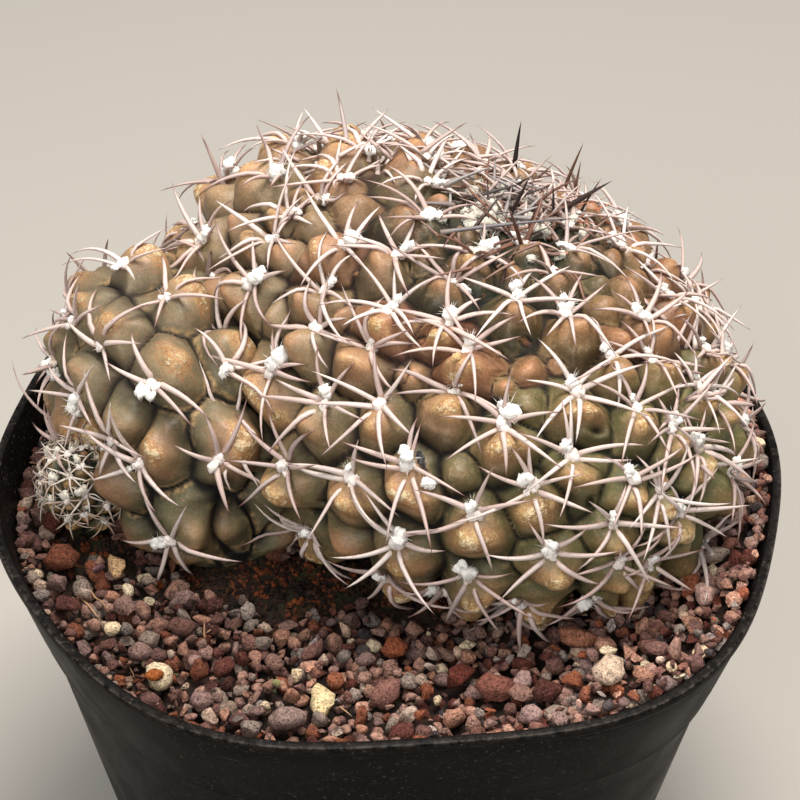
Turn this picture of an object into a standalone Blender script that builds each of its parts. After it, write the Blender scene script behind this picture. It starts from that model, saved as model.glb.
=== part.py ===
"""A potted Gymnocalycium marsoneri: two ribbed heads and a pup in gritty soil, in a square-round pot.

Metres, +Z up. The origin is the centre of the pot's underside, and the front of the plant faces -Y.
"""
import math
import random
from dataclasses import dataclass

import bmesh
import bpy
import numpy as np
from mathutils import Vector
from mathutils.bvhtree import BVHTree

MM = 0.001
GAP = 0.35 * MM

# Pot
POT_HEIGHT = 110 * MM
RIM_RADIUS = 80 * MM
RIM_WAVES = ((2, -0.0148, -0.0046), (4, -0.0222, -0.0055), (6, 0.0107, 0.0142))
POT_SIDES = 64
POT_WALL = 1.5 * MM
POT_FLOOR = 2.0 * MM
LIP_WIDTH = 2.2 * MM
LIP_DEPTH = 1.8 * MM
LIP_DROP_IN = 0.6 * MM
COLLAR_DEPTH = 21 * MM
COLLAR_FOOT_SHARE = 0.925
BODY_TOP_SHARE = 0.908
BASE_SHARE = 0.66
WALL_SLOPE = 0.35
BASE_ROUNDING = 1.6 * MM
DRAIN_HOLES = 6
DRAIN_RADIUS = 4.0 * MM
DRAIN_RING = 37 * MM

# Soil
SOIL_DROP = 10 * MM
SOIL_TOP = POT_HEIGHT - SOIL_DROP
GRIT_PITCH = 4.0 * MM
GRIT_RISE = 1.4 * MM
GRIT_STRAY = 0.3
STONE_TOPS = (0.35, 1.0)
STONE_FEET = (-0.6, 0.0)
NECK_COLLAR = 2.4 * MM
NECK_DEPTH = 9 * MM
NECK_TAPER = 0.96

# Plant
BODY_SIDES = 168
BODY_ROWS = 84
PRESS_SIDES = 48
PRESS_ROWS = 24
PRESS_SHARE = 0.66
CROWN_ANGLE = 0.02
UNDERCUT = 0.12
DIMPLE = 0.07
DIMPLE_WIDTH = 0.16
TUBERCLE_HEIGHT = 0.30
CHIN_DROP = 0.14
CHIN_ROUNDING = 0.45
RIB_PULL = 0.92
CREASE = 4.2
MEAN_MOUND = 0.45
SKIN_FADE = 4 * MM
SPINE_RADIUS = 0.8 * MM
SPINE_LENGTH = 16 * MM
SPINE_ROOT = 2.0 * MM
SPINE_BEND = math.radians(30)
SPINE_WAIST = 0.8
SPINE_SAMPLES = 8
SAMPLE_STEP = SPINE_LENGTH / 2 / SPINE_SAMPLES
SPINE_CLEARANCE = 0.6 * MM
SPINE_LIFT = (math.radians(50), math.radians(62))
CROWN_LIFT = 0.3
CROWN_LENGTH = 0.75
LENGTH_SPREAD = (0.8, 1.12)
SPINE_TRIES = 4
RAISE = 0.6
DRAW_IN = 0.9
THINNEST = 0.6
CUT_AWAY = 0.3
BARE_FOOT = 5 * MM

# Shading
POT_EDGE = math.radians(25)
GRIT_EDGE = math.radians(20)
SKIN_EDGE = math.radians(60)


@dataclass(frozen=True)
class Swelling:
    """A place where an old head stands out, or in where its height is negative."""
    turn: float
    fall: float
    height: float
    width: float


@dataclass(frozen=True)
class Head:
    """One head: an ellipse for a waist, with a crown and a root that may stand off its middle.

    lean is how much its top rises along X and along Y, and pressed_by names the head that it yields to.
    """
    name: str
    waist: tuple
    long_half: float
    short_half: float
    turn: float
    rise: float
    drop: float
    lean: tuple
    crown_shift: tuple
    root_shift: tuple
    swellings: tuple
    ribs: int
    steps: int
    areoles: int
    areole_area: float
    young: float
    spine_scale: float
    spines: int
    faces: int
    pressed_by: "Head"
    seed: int


MAIN_HEAD = Head(
    name="main_head", waist=(10.4 * MM, 11.4 * MM, POT_HEIGHT + 13 * MM),
    long_half=65 * MM, short_half=47 * MM, turn=math.radians(-50), rise=38.5 * MM, drop=32 * MM,
    lean=(-0.17, -0.10), crown_shift=(13 * MM, 2 * MM), root_shift=(4 * MM, 2 * MM),
    swellings=(Swelling(turn=-2.6, fall=0.95, height=5 * MM, width=0.4),
               Swelling(turn=-1.87, fall=1.34, height=-3 * MM, width=0.4)),
    ribs=21, steps=8, areoles=134, areole_area=200 * MM * MM, young=14, spine_scale=1.0, spines=3, faces=2200,
    pressed_by=None, seed=11)

SIDE_HEAD = Head(
    name="side_head", waist=(-42 * MM, 7 * MM, POT_HEIGHT + 5 * MM),
    long_half=32 * MM, short_half=22 * MM, turn=math.radians(-67), rise=31 * MM, drop=26 * MM,
    lean=(0, 0), crown_shift=(-4 * MM, 1 * MM), root_shift=(4 * MM, -3 * MM), swellings=(),
    ribs=13, steps=5, areoles=44, areole_area=180 * MM * MM, young=8, spine_scale=0.9, spines=3, faces=800,
    pressed_by=MAIN_HEAD, seed=12)

PUP = Head(
    name="pup", waist=(-60 * MM, -8 * MM, POT_HEIGHT - 0.5 * MM),
    long_half=8 * MM, short_half=7 * MM, turn=math.radians(-50), rise=9.5 * MM, drop=9.5 * MM,
    lean=(0, 0), crown_shift=(0, 0), root_shift=(0, 0), swellings=(),
    ribs=13, steps=5, areoles=24, areole_area=19 * MM * MM, young=3, spine_scale=0.42, spines=2, faces=280,
    pressed_by=SIDE_HEAD, seed=13)


def clear_scene():
    for obj in list(bpy.data.objects):
        bpy.data.objects.remove(obj, do_unlink=True)


def material(name, colour, roughness, metallic=0.0):
    mat = bpy.data.materials.new(name)
    mat.use_nodes = True
    shader = mat.node_tree.nodes["Principled BSDF"]
    shader.inputs["Base Color"].default_value = (*colour, 1.0)
    shader.inputs["Roughness"].default_value = roughness
    shader.inputs["Metallic"].default_value = metallic
    return mat


def add_object(name, mesh, mat=None, collection=None):
    obj = bpy.data.objects.new(name, mesh)
    (collection or bpy.context.scene.collection).objects.link(obj)
    if mat:
        mesh.materials.append(mat)
    return obj


def mesh_from(bm, name):
    mesh = bpy.data.meshes.new(name)
    bm.to_mesh(mesh)
    bm.free()
    return mesh


def drop_object(obj):
    mesh = obj.data
    bpy.data.objects.remove(obj, do_unlink=True)
    bpy.data.meshes.remove(mesh)


def bake(obj):
    """Applies an object's modifiers, so that its mesh holds the finished shape."""
    evaluated = obj.evaluated_get(bpy.context.evaluated_depsgraph_get())
    finished = bpy.data.meshes.new_from_object(evaluated)
    finished.materials.clear()
    for mat in obj.data.materials:
        finished.materials.append(mat)
    for face in finished.polygons:
        face.material_index = 0
    obj.modifiers.clear()
    spare = obj.data
    obj.data = finished
    bpy.data.meshes.remove(spare)


def cut(obj, tool, operation="DIFFERENCE"):
    modifier = obj.modifiers.new("cut", "BOOLEAN")
    modifier.operation = operation
    modifier.solver = "EXACT"
    modifier.object = tool
    bake(obj)
    drop_object(tool)


def shade(obj, sharp_angle):
    """Shades a piece smooth, with hard edges where it turns by more than an angle."""
    obj.data.shade_smooth()
    obj.data.set_sharp_from_angle(angle=sharp_angle)


def rim_share(angle):
    """How far the rim stands from the middle in one direction, as a share of its radius."""
    return 1 + sum(c * math.cos(k * angle) + s * math.sin(k * angle) for k, c, s in RIM_WAVES)


def outer_share(height):
    """The pot's width below its collar, as a share of the rim's, straight from base to collar."""
    return BASE_SHARE + (BODY_TOP_SHARE - BASE_SHARE) * height / (POT_HEIGHT - COLLAR_DEPTH)


def inner_profile(gap=0.0):
    """Heights and radii of the pot's inner wall, lowest first, moved in by a gap."""
    step = POT_HEIGHT - COLLAR_DEPTH
    inset = POT_WALL + gap
    return [
        (POT_FLOOR + gap, RIM_RADIUS * outer_share(POT_FLOOR) - inset),
        (step, RIM_RADIUS * BODY_TOP_SHARE - inset),
        (step + POT_WALL, RIM_RADIUS * COLLAR_FOOT_SHARE - inset),
        (POT_HEIGHT, RIM_RADIUS - LIP_WIDTH - gap),
    ]


def ring_of(bm, radius, height, sides=POT_SIDES):
    ring = []
    for i in range(sides):
        angle = 2 * math.pi * i / sides
        reach = radius * rim_share(angle)
        ring.append(bm.verts.new((reach * math.cos(angle), reach * math.sin(angle), height)))
    return ring


def skin_rings(bm, rings, close_first=True, close_last=True):
    """Joins rings one after the other, and closes the two ends with a flat face."""
    for lower, upper in zip(rings, rings[1:]):
        count = len(lower)
        for i in range(count):
            j = (i + 1) % count
            bm.faces.new((lower[i], lower[j], upper[j], upper[i]))
    if close_first:
        bm.faces.new(list(reversed(rings[0])))
    if close_last:
        bm.faces.new(rings[-1])


def make_pot(mat):
    """The pot's wall in one loop from the underside up, over the lip and down to the floor."""
    step = POT_HEIGHT - COLLAR_DEPTH
    outer = [
        (0.0, RIM_RADIUS * BASE_SHARE - BASE_ROUNDING),
        (BASE_ROUNDING, RIM_RADIUS * outer_share(BASE_ROUNDING)),
        (step - POT_WALL, RIM_RADIUS * outer_share(step - POT_WALL)),
        (step, RIM_RADIUS * COLLAR_FOOT_SHARE),
        (POT_HEIGHT - LIP_DEPTH, RIM_RADIUS - LIP_DROP_IN),
        (POT_HEIGHT, RIM_RADIUS),
    ]
    bm = bmesh.new()
    profile = outer + list(reversed(inner_profile()))
    skin_rings(bm, [ring_of(bm, radius, height) for height, radius in profile])
    bmesh.ops.recalc_face_normals(bm, faces=bm.faces)
    pot = add_object("pot", mesh_from(bm, "pot"), mat)
    for k in range(DRAIN_HOLES):
        cutter = bmesh.new()
        bmesh.ops.create_cone(cutter, cap_ends=True, segments=10, radius1=DRAIN_RADIUS,
                              radius2=DRAIN_RADIUS, depth=4 * POT_FLOOR)
        angle = 2 * math.pi * (k + 0.5) / DRAIN_HOLES
        bmesh.ops.translate(cutter, verts=cutter.verts,
                            vec=(DRAIN_RING * math.cos(angle), DRAIN_RING * math.sin(angle), POT_FLOOR / 2))
        cut(pot, add_object("drain", mesh_from(cutter, "drain")))
    return pot


def neck_outline(head, extra=0.0, sides=40):
    """The plain oval in which a head stands in the soil, widened by an extra margin."""
    share = neck_share(head)
    centre = np.array(head.waist[:2]) + np.array(head.root_shift)
    points = []
    for i in range(sides):
        angle = 2 * math.pi * i / sides
        along = (head.long_half * share + extra) * math.cos(angle)
        across = (head.short_half * share + extra) * math.sin(angle)
        points.append((centre[0] + along * math.cos(head.turn) - across * math.sin(head.turn),
                       centre[1] + along * math.sin(head.turn) + across * math.cos(head.turn)))
    return points


def make_soil(mat, heads):
    """Soil that fills the pot, with a field of stones on top and a plain hole for each head."""
    draw = random.Random(5)
    bm = bmesh.new()
    reach = RIM_RADIUS + GRIT_PITCH
    rows = int(2 * reach / (GRIT_PITCH * math.sqrt(3) / 2)) + 1
    columns = int(2 * reach / GRIT_PITCH) + 1
    grid = []
    for j in range(rows):
        line = []
        for i in range(columns):
            x = -reach + (i + 0.5 * (j % 2) + draw.uniform(-GRIT_STRAY, GRIT_STRAY)) * GRIT_PITCH
            y = -reach + (j * math.sqrt(3) / 2 + draw.uniform(-GRIT_STRAY, GRIT_STRAY)) * GRIT_PITCH
            stone_top = (i - (j + 1) // 2 + 2 * j) % 3 == 0
            height = draw.uniform(*STONE_TOPS) if stone_top else draw.uniform(*STONE_FEET)
            line.append(bm.verts.new((x, y, SOIL_TOP + GRIT_RISE * height)))
        grid.append(line)
    for j in range(rows - 1):
        for i in range(columns - 1):
            a, b, c, d = grid[j][i], grid[j][i + 1], grid[j + 1][i + 1], grid[j + 1][i]
            if j % 2:
                bm.faces.new((a, b, c))
                bm.faces.new((a, c, d))
            else:
                bm.faces.new((a, b, d))
                bm.faces.new((b, c, d))
    border = [e for e in bm.edges if e.is_boundary]
    grown = bmesh.ops.extrude_edge_only(bm, edges=border)
    low = [v for v in grown["geom"] if isinstance(v, bmesh.types.BMVert)]
    for vert in low:
        vert.co.z = -POT_FLOOR
    bmesh.ops.holes_fill(bm, edges=[e for e in bm.edges if e.is_boundary])
    bmesh.ops.recalc_face_normals(bm, faces=bm.faces)
    soil = add_object("soil", mesh_from(bm, "soil"), mat)
    block = bmesh.new()
    skin_rings(block, [ring_of(block, radius, height) for height, radius in inner_profile(GAP)])
    bmesh.ops.recalc_face_normals(block, faces=block.faces)
    cut(soil, add_object("block", mesh_from(block, "block")), "INTERSECT")
    for head in heads:
        hole = bmesh.new()
        lower = [hole.verts.new((x, y, SOIL_TOP - NECK_DEPTH - GAP)) for x, y in neck_outline(head, GAP)]
        upper = [hole.verts.new((x, y, POT_HEIGHT + 2 * NECK_DEPTH)) for x, y in neck_outline(head, GAP)]
        skin_rings(hole, [lower, upper])
        bmesh.ops.recalc_face_normals(hole, faces=hole.faces)
        cut(soil, add_object("hole", mesh_from(hole, "hole")))
    return soil


def lowest_angle(head):
    """The angle down from the crown at which a head's round form meets its neck."""
    return math.acos(-(head.waist[2] - SOIL_TOP - NECK_COLLAR) / head.drop)


def neck_share(head):
    """The neck's width as a share of the waist's."""
    return NECK_TAPER * math.sin(lowest_angle(head))


def make_neck(head):
    """The plain oval stem under a head, from inside the head down into its hole in the soil."""
    bm = bmesh.new()
    lower = [bm.verts.new((x, y, SOIL_TOP - NECK_DEPTH)) for x, y in neck_outline(head)]
    upper = [bm.verts.new((x, y, SOIL_TOP + 2 * NECK_COLLAR)) for x, y in neck_outline(head)]
    skin_rings(bm, [lower, upper])
    bmesh.ops.recalc_face_normals(bm, faces=bm.faces)
    return add_object("neck", mesh_from(bm, "neck"))


def form(head, turn, fall):
    """Points of a head's smooth form, for angles round it and angles down from its crown."""
    turn, fall = np.broadcast_arrays(np.asarray(turn, float), np.asarray(fall, float))
    wide, high = np.sin(fall), np.cos(fall)
    upper = fall < math.pi / 2
    height = np.where(upper, head.rise, head.drop) * high
    crown = np.clip(1 - (fall / (math.pi / 2)) ** 1.3, 0, 1)
    root = np.clip((fall - math.pi / 2) / (lowest_angle(head) - math.pi / 2), 0, 1) ** 1.5
    along = head.long_half * wide * np.cos(turn)
    across = head.short_half * wide * np.sin(turn)
    x = head.waist[0] + head.crown_shift[0] * crown + head.root_shift[0] * root
    y = head.waist[1] + head.crown_shift[1] * crown + head.root_shift[1] * root
    x = x + along * math.cos(head.turn) - across * math.sin(head.turn)
    y = y + along * math.sin(head.turn) + across * math.cos(head.turn)
    leaning = head.lean[0] * (x - head.waist[0]) + head.lean[1] * (y - head.waist[1])
    dimple = DIMPLE * head.rise * np.exp(-(wide / DIMPLE_WIDTH) ** 2)
    z = head.waist[2] + height - dimple + np.where(upper, leaning * high, 0)
    for swelling in head.swellings:
        near = wide * math.sin(swelling.fall) * np.cos(turn - swelling.turn) + high * math.cos(swelling.fall)
        bulge = swelling.height * np.exp((near - 1) / swelling.width ** 2)
        x = x + bulge * wide * np.cos(turn + head.turn)
        y = y + bulge * wide * np.sin(turn + head.turn)
        z = z + bulge * high
    return np.stack([x, y, z], -1)


def frame_at(head, turn, fall):
    """The place, the outward normal and the direction to the crown at points of a head's form."""
    fall = np.clip(fall, 0.03, math.pi)
    small = 1e-3
    place = form(head, turn, fall)
    down = form(head, turn, fall + small) - form(head, turn, fall - small)
    round_it = form(head, turn + small, fall) - form(head, turn - small, fall)
    normal = np.cross(down, round_it)
    normal /= np.linalg.norm(normal, axis=-1, keepdims=True)
    crownward = -down / np.linalg.norm(down, axis=-1, keepdims=True)
    return place, normal, crownward


def lay_areoles(head):
    """Areoles by the plant's own rule: each a fixed part of a turn on from the last, on its share of skin.

    With 8 steps round 21 ribs, every 21st stands on the same rib. The skin for each grows from the crown out.
    """
    fall = np.linspace(0, lowest_angle(head), 400)
    place, _, _ = frame_at(head, np.zeros_like(fall), fall)
    mean_half = math.sqrt((head.long_half ** 2 + head.short_half ** 2) / 2)
    step = np.linalg.norm(np.diff(place, axis=0), axis=1)
    girth = 2 * math.pi * mean_half * np.sin((fall[1:] + fall[:-1]) / 2)
    area = np.concatenate([[0], np.cumsum(step * girth)])
    number = np.arange(head.areoles)
    share = head.areole_area * (1 - np.exp(-(number + 1.5) / head.young))
    reached = np.cumsum(share) - share / 2
    inside = reached < area[-1]
    falls = np.interp(reached[inside], area, fall)
    return number[inside] * 2 * math.pi * head.steps / head.ribs, falls, np.sqrt(share[inside])


def tubercles(head, areoles, points, fade):
    """How far the skin stands out at each point: a rounded chin under each areole, creases between them."""
    turns, falls, sizes = areoles
    place, normal, crownward = frame_at(head, turns, falls)
    side = np.cross(normal, crownward)
    offset = points[:, None, :] - place[None]
    up = (offset * crownward[None]).sum(-1) / sizes + CHIN_DROP
    across = (offset * side[None]).sum(-1) / sizes
    out = (offset * normal[None]).sum(-1) / sizes
    reach = np.sqrt(up ** 2 + RIB_PULL * across ** 2 + out ** 2)
    order = np.argpartition(reach, 2, axis=1)[:, :2]
    near = np.take_along_axis(reach, order, 1)
    first, second = near.min(1), near.max(1)
    size = sizes[np.argmin(reach, axis=1)]
    mound = (1 - np.exp(-(second - first) * CREASE)) * (1 - CHIN_ROUNDING * first ** 2)
    return fade * size * TUBERCLE_HEIGHT * (mound - MEAN_MOUND)


def make_body(head, areoles, mat):
    """A head's body: its form with the tubercles raised, thinned to few faces, with its neck in the soil."""
    falls = np.linspace(CROWN_ANGLE, lowest_angle(head) + UNDERCUT, BODY_ROWS)
    turns = np.linspace(0, 2 * math.pi, BODY_SIDES, endpoint=False)
    turn, fall = np.meshgrid(turns, falls)
    place, normal, _ = frame_at(head, turn, fall)
    height = place[..., 2]
    fade = np.clip((height - SOIL_TOP - NECK_COLLAR) / SKIN_FADE, 0, 1).ravel()
    raised = tubercles(head, areoles, place.reshape(-1, 3), fade)
    skin = place + normal * raised.reshape(height.shape)[..., None]
    bm = bmesh.new()
    rings = [[bm.verts.new(p) for p in row] for row in skin]
    skin_rings(bm, list(reversed(rings)))
    bmesh.ops.recalc_face_normals(bm, faces=bm.faces)
    bmesh.ops.triangulate(bm, faces=bm.faces)
    count = len(bm.faces)
    body = add_object(head.name, mesh_from(bm, head.name), mat)
    thin = body.modifiers.new("thin", "DECIMATE")
    thin.ratio = head.faces / count
    bake(body)
    cut(body, make_underground())
    cut(body, make_neck(head), "UNION")
    if head.pressed_by:
        cut(body, make_press(head.pressed_by))
    return body


def make_underground():
    """A block that ends a head's round form a little above the soil."""
    bm = bmesh.new()
    bmesh.ops.create_cube(bm, size=2 * RIM_RADIUS)
    bmesh.ops.translate(bm, verts=bm.verts, vec=(0, 0, SOIL_TOP + NECK_COLLAR - RIM_RADIUS))
    return add_object("underground", mesh_from(bm, "underground"))


def make_press(head):
    """The room that a head takes up, with its tubercles and a gap, for cutting the one beside it."""
    margin = PRESS_SHARE * TUBERCLE_HEIGHT * math.sqrt(head.areole_area) + GAP
    falls = np.linspace(CROWN_ANGLE, lowest_angle(head), PRESS_ROWS)
    turns = np.linspace(0, 2 * math.pi, PRESS_SIDES, endpoint=False)
    turn, fall = np.meshgrid(turns, falls)
    place, normal, _ = frame_at(head, turn, fall)
    shell = place + normal * margin
    bm = bmesh.new()
    rings = [[bm.verts.new(p) for p in row] for row in shell]
    rings.append([bm.verts.new((p[0], p[1], SOIL_TOP - 2 * NECK_DEPTH)) for p in shell[-1]])
    skin_rings(bm, list(reversed(rings)))
    bmesh.ops.recalc_face_normals(bm, faces=bm.faces)
    return add_object("press", mesh_from(bm, "press"))


def spine_line(root, normal, tangent, length, lift):
    """Three points of a spine that rises at the lift angle and curves back towards the skin."""
    heading = Vector(normal) * math.cos(lift) + Vector(tangent) * math.sin(lift)
    middle = Vector(root) + heading * length / 2
    bent = Vector(normal) * math.cos(lift + SPINE_BEND) + Vector(tangent) * math.sin(lift + SPINE_BEND)
    return [Vector(root) - Vector(normal) * SPINE_ROOT, middle, middle + bent * length / 2]


def samples(line, radius):
    """Points along a spine with its thickness there."""
    result = []
    for k, (a, b) in enumerate(zip(line, line[1:])):
        for step in range(SPINE_SAMPLES):
            share = step / SPINE_SAMPLES
            done = (k + share) / (len(line) - 1)
            result.append((*a.lerp(b, share), radius * min(1, 2 * SPINE_WAIST * (1 - done))))
    result.append((*line[-1], 0))
    return np.array(result)


def is_clear(line, radius, others, placed):
    """Whether a spine keeps off the soil, the pot, the other heads and their spines."""
    test = samples(line, radius)
    for x, y, z, thick in test[SPINE_SAMPLES // 2:]:
        if z < SOIL_TOP + GRIT_RISE + thick + SPINE_CLEARANCE:
            return False
        room = rim_share(math.atan2(y, x)) * RIM_RADIUS - thick
        if z < POT_HEIGHT + thick + SPINE_CLEARANCE:
            room -= 2 * LIP_WIDTH + WALL_SLOPE * max(0, POT_HEIGHT - z)
        if math.hypot(x, y) > room:
            return False
    for x, y, z, thick in test:
        for tree in others:
            spot, facing, _, away = tree.find_nearest((x, y, z))
            if away < thick + SPINE_CLEARANCE or (Vector((x, y, z)) - spot).dot(facing) < 0:
                return False
    if len(placed):
        apart = np.linalg.norm(test[:, None, :3] - placed[None, :, :3], axis=2)
        if (apart < test[:, None, 3] + placed[None, :, 3] + SPINE_CLEARANCE + SAMPLE_STEP).any():
            return False
    return True


def add_spine(line, radius, collection):
    """A three-sided spine along its line, thickest at the root and pointed at the tip."""
    bm = bmesh.new()
    rings = []
    for k, (here, share) in enumerate(zip(line[:-1], (1.0, SPINE_WAIST))):
        heading = (line[k + 1] - line[max(k - 1, 0)]).normalized()
        side = heading.orthogonal().normalized()
        other = heading.cross(side)
        ring = []
        for corner in range(3):
            angle = 2 * math.pi * corner / 3
            offset = side * math.cos(angle) + other * math.sin(angle)
            ring.append(bm.verts.new(here + offset * radius * share))
        rings.append(ring)
    ordered = [rings[0]]
    for ring in rings[1:]:
        last = ordered[-1]
        shift = min(range(3), key=lambda s: sum((ring[(i + s) % 3].co - last[i].co).length for i in range(3)))
        ordered.append([ring[(i + shift) % 3] for i in range(3)])
    skin_rings(bm, ordered, close_last=False)
    tip = bm.verts.new(line[-1])
    for i in range(3):
        bm.faces.new((ordered[-1][i], ordered[-1][(i + 1) % 3], tip))
    bmesh.ops.recalc_face_normals(bm, faces=bm.faces)
    return add_object("spine", mesh_from(bm, "spine"), collection=collection)


def drop_scraps(body):
    """Keeps the largest connected piece of a mesh, so that no spine hangs loose."""
    bm = bmesh.new()
    bm.from_mesh(body.data)
    left = set(bm.verts)
    pieces = []
    while left:
        front = [left.pop()]
        piece = list(front)
        while front:
            here = front.pop()
            for edge in here.link_edges:
                there = edge.other_vert(here)
                if there in left:
                    left.remove(there)
                    front.append(there)
                    piece.append(there)
        pieces.append(piece)
    pieces.sort(key=len)
    for piece in pieces[:-1]:
        bmesh.ops.delete(bm, geom=piece, context="VERTS")
    bm.to_mesh(body.data)
    bm.free()


def lay_spine(spot, normal, tangent, length, lift, radius, others, placed):
    """A spine's line that is clear of everything, drawn in and raised where it has to be, or none."""
    for _ in range(SPINE_TRIES):
        line = spine_line(spot, normal, tangent, length, lift)
        if is_clear(line, radius, others, placed):
            return line
        lift *= RAISE
        length *= DRAW_IN
    return None


def grow_spines(head, areoles, body, others, placed):
    """Adds a head's spines to its body, a star of them to each areole, and gives back where they lie."""
    draw = random.Random(head.seed)
    turns, falls, sizes = areoles
    place, normal, crownward = frame_at(head, turns, falls)
    own = BVHTree.FromObject(body, bpy.context.evaluated_depsgraph_get())
    collection = bpy.data.collections.new(head.name + "_spines")
    bpy.context.scene.collection.children.link(collection)
    laid = [np.zeros((0, 4))]
    radius = SPINE_RADIUS * max(head.spine_scale, THINNEST)
    for k, size in enumerate(sizes):
        spot, _, _, away = own.find_nearest(Vector(place[k]))
        if away > CUT_AWAY * size or place[k][2] < SOIL_TOP + BARE_FOOT * head.spine_scale:
            continue
        side = np.cross(normal[k], crownward[k])
        grown = size / sizes.max()
        start = draw.uniform(0, 2 * math.pi)
        count = head.spines - k % 2 if k > head.young else 1
        for m in range(count):
            angle = start + 2 * math.pi * m / count
            tangent = math.cos(angle) * crownward[k] + math.sin(angle) * side
            length = SPINE_LENGTH * head.spine_scale * draw.uniform(*LENGTH_SPREAD)
            length *= CROWN_LENGTH + (1 - CROWN_LENGTH) * grown
            lift = draw.uniform(*SPINE_LIFT) * (CROWN_LIFT + (1 - CROWN_LIFT) * grown)
            line = lay_spine(spot, normal[k], tangent, length, lift, radius, others, placed)
            if line:
                add_spine(line, radius, collection)
                laid.append(samples(line, radius))
    union = body.modifiers.new("spines", "BOOLEAN")
    union.operation = "UNION"
    union.operand_type = "COLLECTION"
    union.collection = collection
    union.solver = "MANIFOLD"
    bake(body)
    drop_scraps(body)
    for spine in list(collection.objects):
        drop_object(spine)
    bpy.data.collections.remove(collection)
    return np.concatenate(laid)


def make_heads(finishes):
    """All heads: first every body, then the spines, each head's clear of what stands already."""
    heads = (MAIN_HEAD, SIDE_HEAD, PUP)
    areoles = [lay_areoles(head) for head in heads]
    bodies = [make_body(head, found, mat) for head, found, mat in zip(heads, areoles, finishes)]
    depsgraph = bpy.context.evaluated_depsgraph_get()
    trees = [BVHTree.FromObject(body, depsgraph) for body in bodies]
    placed = np.zeros((0, 4))
    for index, head in enumerate(heads):
        others = [tree for k, tree in enumerate(trees) if k != index]
        placed = np.concatenate([placed, grow_spines(head, areoles[index], bodies[index], others, placed)])
    return bodies


def main():
    clear_scene()
    black_plastic = material("black_plastic", (0.012, 0.013, 0.015), 0.5)
    grit = material("grit", (0.23, 0.12, 0.10), 0.9)
    skin = material("olive_skin", (0.19, 0.16, 0.07), 0.55)
    side_skin = material("olive_skin_side", (0.17, 0.16, 0.08), 0.55)
    young_skin = material("young_skin", (0.36, 0.31, 0.24), 0.7)
    shade(make_pot(black_plastic), POT_EDGE)
    shade(make_soil(grit, (MAIN_HEAD, SIDE_HEAD, PUP)), GRIT_EDGE)
    for head in make_heads((skin, side_skin, young_skin)):
        shade(head, SKIN_EDGE)


main()
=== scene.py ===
"""The looks of a potted Gymnocalycium marsoneri: two heads and a pup in lava grit, in a black pot.

Metres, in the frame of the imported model: +Z up, the origin in the middle of the pot's underside, and the
front of the plant facing -Y. Each class below builds one sub-assembly and dresses it with its own finish.
"""

import logging
import math
import random
from dataclasses import dataclass, field
from enum import Enum
from typing import Optional, Sequence

import bmesh
import bpy
import numpy as np
from bmesh.types import BMEdge, BMesh, BMVert
from bpy.types import Material, Mesh, NodeSocket, Object
from mathutils import Matrix, Vector, noise
from mathutils.bvhtree import BVHTree


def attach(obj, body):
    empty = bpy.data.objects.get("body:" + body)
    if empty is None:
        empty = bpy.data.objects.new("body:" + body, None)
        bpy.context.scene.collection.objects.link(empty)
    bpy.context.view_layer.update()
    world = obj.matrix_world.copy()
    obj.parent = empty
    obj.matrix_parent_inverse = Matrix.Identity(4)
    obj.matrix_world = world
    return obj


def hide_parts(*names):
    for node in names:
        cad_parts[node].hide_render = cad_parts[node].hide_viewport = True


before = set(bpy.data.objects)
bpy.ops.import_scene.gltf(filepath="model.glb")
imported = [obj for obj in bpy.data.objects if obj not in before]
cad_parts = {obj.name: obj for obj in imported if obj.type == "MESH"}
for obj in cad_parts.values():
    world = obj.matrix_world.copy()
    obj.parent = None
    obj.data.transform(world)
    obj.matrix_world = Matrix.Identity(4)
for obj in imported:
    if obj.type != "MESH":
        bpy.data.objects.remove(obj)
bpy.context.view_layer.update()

log = logging.getLogger("potted_gymnocalycium")

MM = 0.001
BODY = "root"

# The pot and the soil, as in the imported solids
POT_HEIGHT = 110 * MM
RIM_RADIUS = 80 * MM
RIM_WAVES = ((2, -0.0148, -0.0046), (4, -0.0222, -0.0055), (6, 0.0107, 0.0142))
SOIL_TOP = POT_HEIGHT - 10 * MM
NECK_COLLAR = 2.4 * MM

# How near to a head's pole its directions are still measured, as an angle
POLE = 0.03

Colour = tuple[int, int, int]
Spot = tuple[float, float]
Sizes = tuple[float, float, float]
Array = np.ndarray


def linear(colour: Colour) -> tuple[float, float, float, float]:
    """A colour's screen values of 0 to 255 as linear light."""
    light = [(c / 255 / 12.92) if c <= 10 else ((c / 255 + 0.055) / 1.055) ** 2.4 for c in colour]
    return (*light, 1.0)


def ramp(value: Array, start: float, length: float) -> Array:
    """A rise from nought at the start to one a length further on."""
    return np.clip((value - start) / length, 0, 1)


def rim_share(angle: Array) -> Array:
    """How far the rim stands from the middle in each direction, as a share of its radius."""
    return 1 + sum(c * np.cos(k * angle) + s * np.sin(k * angle) for k, c, s in RIM_WAVES)


def heap(x: Array, y: Array) -> Array:
    """How much higher the bed lies than its own level: it is heaped against the wall on the right.

    Args:
        x: Places over the bed, across.
        y: The same, in depth.

    Returns:
        The rise at each, in metres.
    """
    angle = np.arctan2(y, x)
    outward = np.hypot(x, y) / (RIM_RADIUS * rim_share(angle))
    facing = np.cos(angle + math.radians(20))
    return 8 * MM * ramp(outward, 0.6, 0.34) * ramp(facing, 0.4, 0.4)


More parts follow.
